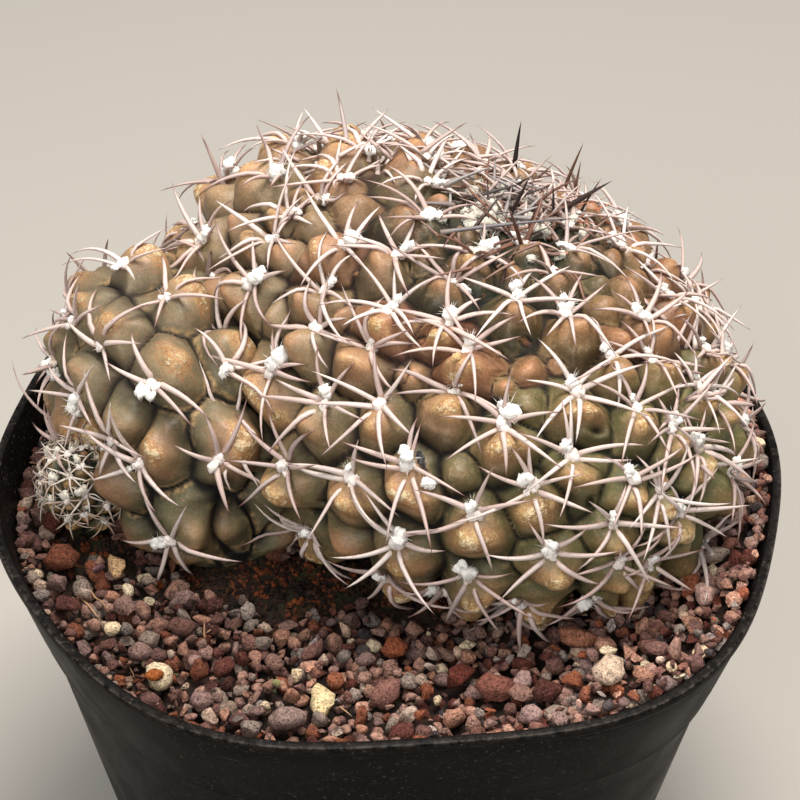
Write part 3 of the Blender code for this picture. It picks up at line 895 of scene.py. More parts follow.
    def stands_clear(self, x: Array, y: Array) -> Array:
        """Whether places on the bed lie outside the head's foot.

        Args:
            x: The places, across.
            y: The same, in depth.

        Returns:
            True where one does.
        """
        share = self.foot_share * math.sin(self.lowest_angle())
        dx = x - self.waist[0] - self.root_shift[0]
        dy = y - self.waist[1] - self.root_shift[1]
        along = dx * math.cos(self.turn) + dy * math.sin(self.turn)
        across = -dx * math.sin(self.turn) + dy * math.cos(self.turn)
        return np.hypot(along / (self.long_half * share), across / (self.short_half * share)) > 1

    def crown_place(self) -> Array:
        """Where the head grows from.

        Returns:
            The place.
        """
        if self.growing_point is not None:
            return np.array(self.growing_point)
        return self.form(*np.radians(self.crown_spot))

    def to_crown(self, place: Array, normal: Array) -> Array:
        """The direction along the skin from each place to where the head grows from.

        Args:
            place: Places on the skin.
            normal: The outward normals there.

        Returns:
            The directions.
        """
        way = self.crown_place() - place
        way = way - np.einsum("pc,pc->p", way, normal)[:, None] * normal
        return unit(way + 1e-7 * np.array((1.0, 0.3, 0.2)))

    def crown_areoles(self) -> Array:
        """Young areoles on a spiral round the growing point, wider apart as they age.

        Returns:
            For each its angle round the head and its angle down from the crown.
        """
        turn, fall = np.meshgrid(np.radians(np.arange(0, 360, 1.0)), np.radians(np.arange(1, 60, 0.5)))
        grid = self.form(turn, fall)
        centre, normal, crownward = self.frame_at(*np.radians(self.crown_spot))
        side = np.cross(normal, crownward)
        laid = []
        for k in range(self.crown_count):
            angle = golden_turn(k)
            reach = self.crown_pitch * (k + 0.5) ** 0.6
            spot = centre + reach * (math.cos(angle) * crownward + math.sin(angle) * side)
            nearest = np.unravel_index(np.argmin(np.linalg.norm(grid - spot, axis=-1)), turn.shape)
            laid.append((turn[nearest], fall[nearest]))
        return np.array(laid, float).reshape(-1, 2)

    def lay_areoles(self) -> None:
        """Lays the crown's areoles and those that show plainly, and fills the rest by the plant's rule."""
        seen = np.radians(np.array(self.seen, float).reshape(-1, 2))
        laid = np.concatenate([self.crown_areoles(), seen])
        turns, falls, size = self.ruled_areoles()
        apart = self.form(turns, falls)[:, None] - self.form(laid[:, 0], laid[:, 1])[None]
        free = np.linalg.norm(apart, axis=-1).min(1, initial=math.inf) > self.apart * size
        turns = np.append(laid[:, 0], turns[free])
        falls = np.append(laid[:, 1], falls[free])
        place, normal, _ = self.frame_at(turns, falls)
        crownward = self.to_crown(place, normal)
        reach = np.linalg.norm(place - self.crown_place(), axis=-1)
        gaps = np.sort(np.linalg.norm(place[:, None] - place[None], axis=-1), axis=1)[:, 1:6]
        size = np.clip(0.93 * gaps.mean(1), 0, 1.15 * math.sqrt(self.areole_area))
        order = np.argsort(reach)
        place, normal, crownward, size, reach = (
            values[order] for values in (place, normal, crownward, size, reach))
        tone = np.random.default_rng(self.seed + 1).uniform(0, 1, len(size))
        self.areoles = Areoles(place, normal, crownward, np.cross(normal, crownward), size, reach, tone,
                               np.ones(len(size), bool))
        self.add_spare_tubercles()
        raised, _ = self.relief(self.areoles.place, np.ones(len(self.areoles.place)))
        self.areoles.place = self.areoles.place + self.areoles.normal * raised[:, None]

    def add_spare_tubercles(self) -> None:
        """Adds the knobs without spines that show plainly, and fills the wider gaps with more like them."""
        knobs = np.array(self.knobs, float).reshape(-1, 3)
        turn, fall = np.meshgrid(np.arange(0, 360, 3.0), np.arange(14, 120, 2.5))
        place, normal, _ = self.frame_at(np.radians(np.concatenate([knobs[:, 0], turn.ravel()])),
                                         np.radians(np.concatenate([knobs[:, 1], fall.ravel()])))
        crownward = self.to_crown(place, normal)
        draw = np.random.default_rng(self.seed + 2)
        _, _, reach = self.measure(place)
        own, gap = reach.argmin(1), reach.min(1)
        spots, sizes = list(range(len(knobs))), list(knobs[:, 2] * MM)
        for spot, size in zip(spots, sizes):
            gap = np.minimum(gap, np.linalg.norm(place - place[spot], axis=-1) / size)
        while len(spots) < len(knobs) + self.spare_count and gap.max() > self.spare_room:
            best = int(np.argmax(gap))
            size = self.spare_share * self.areoles.size[own[best]] * draw.uniform(0.85, 1.15)
            spots.append(best)
            sizes.append(size)
            gap = np.minimum(gap, np.linalg.norm(place - place[best], axis=-1) / size)
        if not spots:
            return
        sizes = np.array(sizes)
        seat = place[spots] + crownward[spots] * (self.chin_drop * sizes)[:, None]
        spare_reach = np.linalg.norm(place[spots] - self.crown_place(), axis=-1)
        tone = draw.uniform(0, 1, len(sizes))
        tone[:len(knobs)] = self.knob_tone
        normal, crownward = normal[spots], crownward[spots]
        self.areoles = self.areoles.joined(Areoles(
            seat, normal, crownward, np.cross(normal, crownward), sizes, spare_reach, tone,
            np.zeros(len(sizes), bool)))

    def youth(self, stretch: float = 1.0) -> Array:
        """How young each areole is: one at the growing point, and nought past the stretched young reach."""
        return np.clip(1 - self.areoles.reach / (stretch * self.young_reach), 0, 1)

    def measure(self, points: Array) -> tuple[Array, Array, Array]:
        """How far points lie from each tubercle, in sizes of that tubercle.

        Args:
            points: Places, one row each.

        Returns:
            For each point and tubercle, how far up and across from the areole it lies, and off its dome.
        """
        found = self.areoles
        offset = points[:, None, :] - found.place[None]
        up, across, out = (np.einsum("pkc,kc->pk", offset, way) / found.size
                           for way in (found.crownward, found.side, found.normal))
        return up, across, np.sqrt((up + self.chin_drop) ** 2 + self.rib_pull * across ** 2 + out ** 2)

    def relief(self, points: Array, fade: Array) -> tuple[Array, dict[str, Array]]:
        """How far the skin stands out at each point, and what its material needs to know.

        Args:
            points: Places on the smooth form.
            fade: How much of the relief is left at each, as a share.

        Returns:
            The height at each point, and the stored values by name.
        """
        found = self.areoles
        dusk = self.youth(1.3)
        ring, width = self.ruddy_ring
        ruddy = np.exp(-((found.reach - ring) / width) ** 2) * (0.4 + 0.6 * found.tone)
        chins = 0.5 + 0.8 * np.random.default_rng(self.seed + 3).uniform(0, 1, len(found.size))
        chunks = []
        for start in range(0, len(points), self.points_at_once):
            up, across, reach = self.measure(points[start:start + self.points_at_once])
            order = np.argpartition(reach, 2, axis=1)[:, :2]
            near = np.take_along_axis(reach, order, 1)
            first, second = near.min(1), near.max(1)
            rows = np.arange(len(first))
            own, other = order[rows, near.argmin(1)], order[rows, near.argmax(1)]
            up, across, size = up[rows, own], across[rows, own], found.size[own]
            spiny, tone = found.spiny[own], found.tone[own]
            shared = (size * second + found.size[other] * first) / np.maximum(first + second, 1e-9)
            inner = np.clip((second - first) / (second + first), 0, 1)
            mound = 1 - (1 - inner) ** self.crease
            dome = mound * (1 - 0.9 * np.clip(first, 0, 0.8) ** 2)
            chin = soft_mark(up, across, at=-0.34, tall=0.14, wide=0.27)
            fold = soft_mark(up, across, at=-0.56, tall=0.07, wide=0.26)
            notch = 0.06 * soft_mark(up, across, at=0.0, tall=0.13, wide=0.13)
            slope = -0.10 * np.clip(up + self.chin_drop, -0.5, 0.5) * mound
            detail = mound * chins[own] * (0.22 * chin - 0.19 * fold) - notch
            raised = size * (dome + slope + spiny * detail) - shared * self.mean_mound
            lowness = np.clip(found.reach[own] / self.long_half, 0, 1.4)
            worn = np.clip(self.cork_share + 1.1 * (tone - 0.5) + 0.8 * (lowness - 0.7), 0, 1)
            bare_tip = np.exp(-(first / 0.34) ** 2) * (0.25 + 0.75 * tone)
            # The skin darkens the share of each tubercle's lower part: painted shade, with a little of its
            # own darker colour.
            chunks.append({
                "height": self.tubercle_height * raised, "mound": mound,
                "lobe": spiny * np.clip((-up - 0.48) / 0.3, 0, 1), "cork": spiny * worn * chin ** 0.8,
                "flush": np.where(spiny, 0.9 * chin ** 0.6, bare_tip), "ruddy": ruddy[own], "tone": tone,
                "young": dusk[own]})
        stored = {name: np.concatenate([chunk[name] for chunk in chunks]) for name in chunks[0]}
        return fade * stored.pop("height"), stored

    def build_skin(self) -> Object:
        """Raises the tubercles on a ball of even squares, shaped to the head's form.

        Returns:
            The skin.
        """
        mesh = finish_mesh(quad_ball(self.divisions), self.name + "_skin")
        ball = coordinates(mesh)
        fall = np.arccos(np.clip(ball[:, 2], -1, 1))
        turn = np.arctan2(ball[:, 1], ball[:, 0])
        place, normal, _ = self.frame_at(turn, fall)
        fade = ramp(place[:, 2] - SOIL_TOP, -1 * MM, self.fade_depth)
        small = np.sqrt(self.areole_area)
        astray = np.stack([clouds(place, 0.45 * small, shift) for shift in (0.3, 17.1, 41.7)], 1)
        raised, stored = self.relief(place + astray * 0.085 * small, fade)
        dents = clouds(place, 0.34 * small, 7.7) * 0.055 * small
        dents = dents + clouds(place, 0.13 * small, 3.1) * 0.01 * small
        crust = clouds(place, 0.07 * small, 9.2) * 0.014 * small * np.clip(2.2 * stored["cork"] - 0.4, 0, 1)
        skin = place + normal * (raised + fade * (dents + crust))[:, None]
        move_vertices(mesh, skin)
        # The old skin is fairer and more flushed towards the upper left, and greener towards the right of the
        # front
        upper_left_share = ramp(-skin[:, 0], -15 * MM, 60 * MM) * ramp(skin[:, 2], 120 * MM, 30 * MM)
        stored["flush"] = np.clip(stored["flush"] * (0.65 + 0.45 * upper_left_share), 0, 1)
        stored["fair"] = upper_left_share
        stored["green"] = ramp(skin[:, 0], 5 * MM, 45 * MM) * ramp(-skin[:, 1], -20 * MM, 40 * MM)
        for x, y, z, radius in self.corky_spots:
            away = np.linalg.norm(skin - np.array((x, y, z)) * MM, axis=1) / (radius * MM)
            stored["cork"] = np.maximum(stored["cork"], np.exp(-away ** 2))
            stored["flush"] = np.maximum(stored["flush"], np.exp(-(0.7 * away) ** 2))
        for name, values in stored.items():
            set_values(mesh, name, values)
        obj = add_piece(self.name + "_skin", mesh, self.finish.material(), [self.name])
        self.tree = BVHTree.FromObject(obj, bpy.context.evaluated_depsgraph_get())
        return obj


# In the heads, seen and knobs are angles in degrees round the head and down from its crown, a knob's third
# number is its size in mm, and a corky spot is its place and its radius in mm
MAIN_HEAD = Head(
    name="main_head", waist=(10.4 * MM, 11.4 * MM, POT_HEIGHT + 13 * MM), long_half=65 * MM,
    short_half=47 * MM, turn=math.radians(-50), rise=38.5 * MM, drop=32 * MM, lean=(-0.17, -0.10),
    crown_shift=(13 * MM, 2 * MM), root_shift=(4 * MM, 2 * MM),
    swellings=(Swelling(turn=-2.6, fall=0.95, height=5 * MM, width=0.4),
               Swelling(turn=-1.87, fall=1.34, height=-3 * MM, width=0.4)),
    ribs=21, steps=8, count=134, areole_area=200 * MM * MM, young=14, seed=21, divisions=(5, 5, 5),
    finish=OLIVE_SKIN, cork_share=0.5, crown_spot=(106, 10), crown_count=15, crown_pitch=2.3 * MM,
    growing_point=(22 * MM, 9 * MM, 160 * MM), young_reach=20 * MM, ruddy_ring=(31 * MM, 7 * MM),
    tubercle_height=0.45, corky_spots=((-20.7, -17.7, 133.9, 2.2), (12.2, -26.2, 152.3, 1.8)),
    knobs=((284, 44, 3.4), (292, 42, 3.8), (262, 38, 3.2), (300, 38, 3.0), (320, 34, 3.8), (332, 38, 3.8),
           (316, 46, 4.6), (338, 53, 4.2), (356, 70, 3.6), (336, 70, 3.2), (269, 48, 4.2), (291, 52, 3.2)),
    seen=((226, 62), (200, 62), (214, 44), (237, 48), (232, 42), (224, 36), (218, 31), (253, 36),
          (246, 56), (261, 46), (266, 29), (208, 16), (253, 18), (288, 26), (292, 18), (248, 72),
          (266, 54), (280, 50), (280, 40), (296, 37), (304, 41), (264, 68), (279, 66), (290, 60),
          (303, 51), (316, 26), (338, 28), (350, 38), (7, 41), (334, 46), (316, 55), (351, 50), (1, 57),
          (17, 52), (33, 50), (38, 36), (61, 36), (58, 26), (23, 60), (8, 65), (332, 60), (42, 61),
          (346, 66), (14, 33), (290, 78), (300, 70), (314, 76), (324, 68), (302, 88), (330, 84),
          (316, 94), (298, 110), (282, 106), (342, 77), (346, 90), (0, 80), (20, 80), (354, 94),
          (354, 72), (277, 84), (263, 86)))

SIDE_HEAD = Head(
    name="side_head", waist=(-42 * MM, 7 * MM, POT_HEIGHT + 5 * MM), long_half=32 * MM, short_half=22 * MM,
    turn=math.radians(-67), rise=31 * MM, drop=26 * MM, crown_shift=(-4 * MM, 1 * MM),
    root_shift=(4 * MM, -3 * MM), ribs=13, steps=5, count=34, areole_area=185 * MM * MM, young=0.5, seed=22,
    divisions=(5, 4, 4), finish=SIDE_SKIN, cork_share=0.3, crown_spot=(0, 2), crown_pitch=3.0 * MM,
    growing_point=(-63 * MM, -16 * MM, 104 * MM), young_reach=9 * MM, apart=0.8, spare_count=8,
    spare_room=0.72, spare_share=0.75, crease=3.2, tubercle_height=0.37,
    corky_spots=((-59.3, -8.8, 120.0, 5.5), (-63.0, -3.0, 118.0, 4.0)),
    knobs=((353, 100, 13.0), (325, 119, 9.0)),
    seen=((202, 18), (23, 9), (254, 44), (286, 38), (331, 42), (305, 68), (319, 72), (358, 68), (328, 102),
          (291, 118), (282, 62)))

PUP = Head(
    name="pup", waist=(-60 * MM, -8 * MM, POT_HEIGHT - 0.5 * MM), long_half=8 * MM, short_half=7 * MM,
    turn=math.radians(-50), rise=9.5 * MM, drop=12 * MM, ribs=13, steps=5, count=40, areole_area=16 * MM * MM,
    young=3, seed=23, divisions=(5, 4, 2), finish=PUP_SKIN, cork_share=0.1, crown_spot=(0, 2),
    crown_pitch=1.5 * MM, young_reach=2 * MM, spare_count=0, fade_depth=2 * MM)


@dataclass(frozen=True)
class SpineForm:
    """One kind of spine: a tapering blade of a few rings."""
    sides: int = 6
    rings: int = 8
    flatness: float = 0.7

    def template(self) -> Mesh:
        """A spine of length one and radius one that stands up from the origin, closed at both ends.

        Returns:
            The spine.
        """
        bm = bmesh.new()
        bmesh.ops.create_circle(bm, cap_ends=True, segments=self.sides, radius=1)
        ring, edges = [], list(bm.edges)
        for _ in range(self.rings):
            ring, edges = grow_ring(bm, edges)
            bmesh.ops.translate(bm, verts=ring, vec=(0, 0, 1 / self.rings))
        bmesh.ops.pointmerge(bm, verts=ring, merge_co=(0, 0, 1))
        bmesh.ops.recalc_face_normals(bm, faces=bm.faces)
        return finish_mesh(bm, "spine_form")


@dataclass
class Spine:
    """One spine.

    Args:
        root: Where it starts, a little under the skin.
        outward: The direction away from the skin.
        sideways: The direction along the skin that it leans to.
        lift: The angle from the outward direction at its root.
        bend: How much further it turns by its tip.
        curl: How much it turns to one side.
        length: Its length along the curve.
        radius: Half its width at the root.
        tone: Where it lies between pale and grey.
        youth: How much of a young spine's brown it still has.
    """
    root: Array
    outward: Array
    sideways: Array
    lift: float
    bend: float
    curl: float
    length: float
    radius: float
    tone: float
    youth: float


@dataclass
class SpineBatch:
    """Many spines of one finish, built as one piece and held off the skin that they would otherwise enter."""
    spines: list[Spine] = field(default_factory=list)
    clearance: float = 0.5 * MM
    push_share: float = 1.2
    longest_push: float = 3 * MM
    carried: float = 0.8

    def column(self, name: str) -> Array:
        """One measure of all the spines."""
        return np.array([getattr(spine, name) for spine in self.spines], float)

    def paths(self, rings: int, trees: Sequence[BVHTree]) -> Array:
        """The line that each spine follows.

        Args:
            rings: How many steps a line has.
            trees: The skins that the spines keep off.

        Returns:
            For each spine, its points from root to tip.
        """
        outward, sideways = self.column("outward"), self.column("sideways")
        third = np.cross(outward, sideways)
        lift, bend, curl, length = (self.column(name)[:, None] for name in ("lift", "bend", "curl", "length"))
        here = self.column("root")
        lines = [here]
        for k in range(rings):
            done = (k + 0.5) / rings
            angle = lift + bend * done ** 1.2
            heading = outward * np.cos(angle) + sideways * np.sin(angle) + third * curl * done
            here = here + unit(heading) * length / rings
            lines.append(here)
        lines = np.stack(lines, 1)
        for line, way in zip(lines, outward):
            push = np.zeros(3)
            for k in range(1, rings + 1):
                line[k] += push
                for tree in trees:
                    spot, facing, _, away = tree.find_nearest(line[k])
                    side = (line[k] - np.array(spot)) @ np.array(facing)
                    depth = self.clearance - (away if side > 0 else -away)
                    if depth > 0:
                        step = unit(np.array(facing) + way) * min(self.push_share * depth, self.longest_push)
                        line[k] += step
                        push = push + self.carried * step
                push = push * self.carried
            line[1:-1] = 0.5 * line[1:-1] + 0.25 * (line[:-2] + line[2:])
        return lines

    def build(self, name: str, form: SpineForm, trees: Sequence[BVHTree], finish: SpineFinish,
              slot: str) -> Object:
        """Bends one copy of the form along each spine's line.

        Args:
            name: The piece's name.
            form: The kind of spine.
            trees: The skins that the spines keep off.
            finish: Their finish.
            slot: Not used.

        Returns:
            One object with all the spines.
        """
        lines = self.paths(form.rings, trees)
        heading = unit(np.gradient(lines, axis=1))
        outward = np.broadcast_to(self.column("outward")[:, None, :], heading.shape)
        flat = unit(np.cross(heading, outward + 1e-6))
        thick = np.cross(flat, heading)
        template = form.template()
        shape = coordinates(template)
        share = shape[:, 2]
        ring = np.rint(share * form.rings).astype(int)
        taper = (1 - share ** 2.2) * (1 + 0.15 * np.exp(-(share / 0.1) ** 2))
        radius = self.column("radius")[:, None]
        wide = (shape[:, 0] * taper)[None] * radius
        deep = (shape[:, 1] * taper * form.flatness)[None] * radius
        placed = lines[:, ring] + flat[:, ring] * wide[..., None] + thick[:, ring] * deep[..., None]
        mesh = repeated([template] * len(lines), name)
        bpy.data.meshes.remove(template)
        move_vertices(mesh, placed.reshape(-1, 3))
        set_values(mesh, "along", np.tile(share, len(lines)))
        # The flank runs across the blade, for the painted shade along the spine's sides.
        set_values(mesh, "flank", np.tile(shape[:, 0], len(lines)))
        for measure in ("tone", "youth"):
            set_values(mesh, measure, np.repeat(self.column(measure), len(shape)))
        return add_piece(name, mesh, finish.material())


@dataclass(frozen=True)
class StarPlan:
    """How the spines of an areole spread: their directions from the crown side, lengths and chances."""
    directions: tuple[float, ...] = (24, -28, 72, -76, 118, -122, 176)
    shares: tuple[float, ...] = (0.75, 0.78, 1.0, 1.0, 1.1, 1.06, 0.95)
    chances: tuple[float, ...] = (0.8, 0.8, 0.97, 0.97, 1.0, 1.0, 0.8)
    length: float = 12.8 * MM
    radius: float = 0.58 * MM
    lift: Spot = (46, 70)
    bend: Spot = (20, 70)
    young_lift: Spot = (10, 80)
    stagger: float = 1.1 * MM
    skip_below: float = SOIL_TOP + 3 * MM
    spread: float = 13.0
    swing: float = 16.0
    curl: float = 0.55
    ripe_from: float = 0.45


@dataclass
class Armature:
    """All the spines of one head, laid star by star."""
    head: Head
    plan: StarPlan
    finish: SpineFinish = OLD_SPINES
    form: SpineForm = SpineForm()

    def lay(self) -> tuple[SpineBatch, SpineBatch]:
        """Lays a star of spines on each areole, less orderly near the crown.

        Returns:
            The weathered spines, and the young brown ones.
        """
        old, brown = SpineBatch(), SpineBatch()
        plan, found = self.plan, self.head.areoles
        draw = random.Random(self.head.seed + 5)
        full = math.sqrt(self.head.areole_area)
        for k, young in enumerate(self.head.youth()):
            place = found.place[k]
            if place[2] < plan.skip_below or not found.spiny[k]:
                continue
            grown = min(1.0, found.size[k] / full)
            swing = draw.uniform(-plan.swing, plan.swing)
            tone = draw.random()
            for direction, share, chance in zip(plan.directions, plan.shares, plan.chances):
                if draw.random() > chance * (1 - 0.2 * young):
                    continue
                angle = math.radians(direction + swing + draw.gauss(0, plan.spread * (1 + 2 * young)))
                sideways = math.cos(angle) * found.crownward[k] + math.sin(angle) * found.side[k]
                old_lift = draw.uniform(*plan.lift)
                lift = old_lift + (draw.uniform(*plan.young_lift) - old_lift) * min(1, 1.6 * young)
                bend = draw.uniform(*plan.bend) * (1 - 0.6 * young)
                length = plan.length * share * draw.uniform(0.75, 1.25) * (0.7 + 0.3 * grown)
                radius = plan.radius * draw.uniform(0.8, 1.15) * (0.6 + 0.4 * grown)
                foot = place + sideways * radius * 0.9 - found.normal[k] * 0.4 * radius
                foot = foot + found.crownward[k] * plan.stagger * grown * math.cos(math.radians(direction))
                ripe = min(1.0, 1.3 * young) * draw.uniform(0.2, 1.0)
                (brown if ripe > plan.ripe_from else old).spines.append(Spine(
                    foot, found.normal[k], sideways, math.radians(lift), math.radians(bend),
                    draw.uniform(-plan.curl, plan.curl), length, radius,
                    min(1.0, max(0.0, 0.6 * tone + 0.4 * draw.random())), min(1.0, ripe * 1.6)))
        return old, brown

    def build(self, trees: Sequence[BVHTree]) -> None:
        """Builds the head's spines, clear of the skins in the trees.

        Args:
            trees: The skins that the spines keep clear of.
        """
        old, brown = self.lay()
        for kind, batch, finish in (("_spines", old, self.finish), ("_young_spines", brown, BROWN_SPINES)):
            if batch.spines:
                batch.build(self.head.name + kind, self.form, trees, finish, self.head.name)


def oval_spot(number: int, count: int, middle: Spot, halves: Spot, turned: float = 0.0) -> Spot:
    """One of many places spread evenly over an oval, on a golden spiral that may be turned."""
    turn, away = golden_turn(number) + turned, math.sqrt((number + 0.5) / count)
    return middle[0] + halves[0] * away * math.cos(turn), middle[1] + halves[1] * away * math.sin(turn)


@dataclass(frozen=True)
class LoneSpine:
    """A spine that stands out: its foot seen from above, its reach from foot to tip, and half its width."""
    foot: Spot
    reach: Sizes
    radius: float
    raised: float = 0.0


def lone(*rows: tuple[float, ...]) -> tuple[LoneSpine, ...]:
    """Spines from rows, in mm: two measures of the foot, three of the reach, the radius and the raise."""
    return tuple(LoneSpine(row[:2], row[2:5], *row[5:]) for row in rows)


@dataclass(frozen=True)
class Tangle:
    """Spines that cross each other in all directions, spread evenly over an oval; every length is in mm."""
    count: int
    seed: int
    middle: Spot
    halves: Spot
    length: Spot = (7.5, 12.5)
    radius: Spot = (0.3, 0.5)
    slope: Spot = (0.0, 0.45)
    raised: Spot = (0.4, 2.6)

    def spines(self) -> tuple[LoneSpine, ...]:
        """Draws the spines.

        Returns:
            The spines.
        """
        draw = random.Random(self.seed)
        found = []
        for k in range(self.count):
            heading = draw.uniform(0, 2 * math.pi)
            length, slope = draw.uniform(*self.length), draw.uniform(*self.slope)
            flat = length * math.sqrt(1 - slope ** 2)
            found.append(LoneSpine(oval_spot(k, self.count, self.middle, self.halves, self.seed),
                                   (flat * math.cos(heading), flat * math.sin(heading), length * slope),
                                   draw.uniform(*self.radius), draw.uniform(*self.raised)))
        return tuple(found)


@dataclass
class LoneSpines:
    """Spines set one by one on a surface, all of one finish."""
    name: str
    tree: BVHTree
    finish: SpineFinish
    slot: str
    spines: tuple[LoneSpine, ...]
    upright: float = 0.6

    def build(self) -> Object:
        """Stands each spine where a plumb line through its foot meets the surface.

        Returns:
            The piece.
        """
        batch = SpineBatch(clearance=0.3 * MM)
        draw = random.Random(len(self.name))
        for spine in self.spines:
            spot, facing = plumb(self.tree, spine.foot[0] * MM, spine.foot[1] * MM)
            outward = unit(facing + (0, 0, self.upright))
            reach = np.array(spine.reach) * MM
            length = float(np.linalg.norm(reach))
            rise = float(reach @ outward) / length
            sideways = unit(reach / length - rise * outward + 1e-6)
            batch.spines.append(Spine(
                spot + (0, 0, spine.raised * MM), outward, sideways, math.acos(rise), draw.uniform(0.0, 0.2),
                draw.uniform(-0.15, 0.15), length, spine.radius * MM, draw.random(), 0.0))
        return batch.build(self.name, SpineForm(), (self.tree,), self.finish, self.slot)


CROWN_DARK = lone(
    (24.0, 36.0, 0.6, 0, 15.5, 0.62), (32.5, 18.9, 9.4, 0, 8.0, 0.75, 1.8), (22.2, 14.4, 4.6, 0, 10.2, 0.5),
    (21.6, 24.3, 5.2, -1, 5.4, 0.62), (26.1, 22.8, 5.4, 0, 3.2, 0.34), (31.2, 16.8, -0.3, 0, 7.8, 0.34),
    (28.4, 3.2, 4.0, 0, 3.4, 0.32), (27.0, 27.5, -4.2, -1, 4.0, 0.4), (19.0, 20.0, 3.5, -5, 2.6, 0.34),
    (37.0, 24.0, 3.0, 0, 8.2, 0.36)) + Tangle(8, 3, (21.0, 11.0), (11.0, 13.0)).spines()
CROWN_BROWN = lone(
    (39.2, 26.9, 7.4, 0, 2.8, 0.42), (34.6, 39.7, 3.2, 0, 11.2, 0.5), (52.4, 24.6, 0.2, 0, 9.8, 0.4),
    (36.6, 39.3, 1.0, 0, 8.5, 0.36), (22.0, 7.3, -2.6, -10, -1.8, 0.45), (23.2, 9.8, 8.4, -9, -2.2, 0.6),
    (29.9, 12.8, 5.8, -9, -2.2, 0.46), (27.7, 43.0, 4.6, 0, 5.0, 0.36), (15.5, 22.0, -6.5, -3, 2.2, 0.4),
    (36.6, 14.0, 6.0, -4, 2.0, 0.36), (30.0, 22.0, 7.0, -3, 3.0, 0.4), (18.0, 9.0, -5.5, -4, 1.8, 0.4),
    (25.0, 17.5, -6.0, -3, 4.5, 0.38), (35.0, 20.5, -5.0, -5, 2.5, 0.34)) + Tangle(
        20, 5, (22.0, 3.0), (15.0, 11.0), slope=(-0.25, 0.15)).spines()
CROWN_GREY = lone(
    (9.3, 1.7, 26.5, 6.0, 0.6, 0.62, 3.0), (14.0, 14.0, 15.0, 8.0, 2.0, 0.5, 1.6),
    (23.0, 43.5, -4.4, 0, 4.6, 0.45), (21.0, 28.0, 9.0, -7, 2.0, 0.45, 1.2),
    (17.0, 26.0, 6.5, -8, 1.6, 0.4, 1.5), (31.5, 26.0, -9.5, -5, 1.8, 0.4, 1.4),
    (20.0, 16.0, 1.5, 9, 3.5, 0.36, 0.8)) + Tangle(
        22, 7, (19.5, 16.5), (12.0, 9.0), radius=(0.38, 0.6)).spines()
STOUT = {"length": (7.0, 11.5), "radius": (0.42, 0.58), "slope": (0.1, 0.65), "raised": (0.0, 0.2)}
OUTER = (lone((-33.6, 43.0, -4.2, 0, 14.0, 0.62), (-24.5, 46.0, -3.4, 0, 8.5, 0.56))
         + Tangle(46, 11, (0.0, 36.0), (25.0, 8.5), **STOUT).spines()
         + Tangle(30, 13, (57.0, -8.0), (6.0, 25.0), **STOUT).spines())
RUSTY = Tangle(14, 9, (38.5, 19.5), (5.0, 6.0), (3.0, 6.5), (0.14, 0.26)).spines()
STRAWS = lone(
    (-58.2, -30.2, 5.4, -8.3, 0.4, 0.26, 0.4), (-56.4, -29.8, 4.4, -8.2, 0.5, 0.22, 0.5),
    (-33.5, -43.0, -0.4, 1.6, 3.6, 0.3), (-32.6, -42.0, -0.6, -2.6, 1.6, 0.22),
    (-47.0, -51.0, 6.5, -2.0, 0.3, 0.18, 0.3), (-8.0, -59.0, 2.6, -3.2, 0.7, 0.16),
    (-48.5, -47.0, 3.0, -5.5, 0.4, 0.16, 0.3))


@dataclass
class Felt:
    """Wads of felt: each a heap of small ragged lumps, with loose fibres round it."""
    name: str
    slot: str
    finish: WoolFinish
    seed: int
    parts: list = field(default_factory=list)

    def fibre(self) -> Mesh:
        """A straight hair of length one, three-sided and pointed.

        Returns:
            The hair.
        """
        bm = bmesh.new()
        bmesh.ops.create_cone(bm, cap_ends=True, segments=3, radius1=0.034, radius2=0.0, depth=1)
        bmesh.ops.translate(bm, verts=bm.verts, vec=(0, 0, 0.5))
        return finish_mesh(bm, "fibre")

    def add(self, centre: Array, axes: Array, halves: Sequence[float], lumps: int, fibres: int,
            tone: float) -> None:
        """Adds one wad.

        Args:
            centre: Its middle.
            axes: Its side, length and height directions, one row each.
            halves: Half its size along each.
            lumps: How many lumps it is made of.
            fibres: How many hairs stand off it.
            tone: How stained it is.
        """
        self.parts.append((centre, axes, np.array(halves), lumps, fibres, tone))

    def build(self) -> Object:
        """Builds all the wads as one piece.

        Returns:
            The piece.
        """
        draw = np.random.default_rng(self.seed)
        lump = lumpy_ball("lump", 2, 0.86, ((0.6, 1.7), (0.3, 3.9)))
        fibre = self.fibre()
        ball, hair = coordinates(lump), coordinates(fibre)
        balls, hairs = [], []
        for centre, axes, halves, lumps, fibres, tone in self.parts:
            girth = halves.mean()
            for _ in range(lumps):
                spot = unit(draw.normal(0, 1, 3)) * draw.uniform(0.0, 0.6) * halves
                scaled = ball @ any_turn(draw) * draw.uniform(0.36, 0.66) * (0.5 * halves + 0.5 * girth)
                balls.append((centre + (scaled + spot) @ axes, tone + draw.uniform(-0.15, 0.15)))
            for _ in range(fibres):
                way = unit(draw.normal(0, 1, 3) * (1, 1, 0.6) + (0, 0, 0.3))
                start = centre + (way * 0.55 * halves) @ axes
                way = way @ axes
                side = unit(np.cross(way, (0.3, 0.5, 0.8)))
                turned = np.stack([side, np.cross(way, side), way])
                hairs.append((start + (hair * (girth, girth, girth * draw.uniform(0.5, 1.0))) @ turned, tone))
        mesh = repeated([lump] * len(balls) + [fibre] * len(hairs), self.name)
        move_vertices(mesh, np.concatenate([shape for shape, _ in balls + hairs]))
        set_values(mesh, "tone", np.concatenate([np.full(len(shape), tone) for shape, tone in balls + hairs]))
        for template in (lump, fibre):
            bpy.data.meshes.remove(template)
        return add_piece(self.name, mesh, self.finish.material())


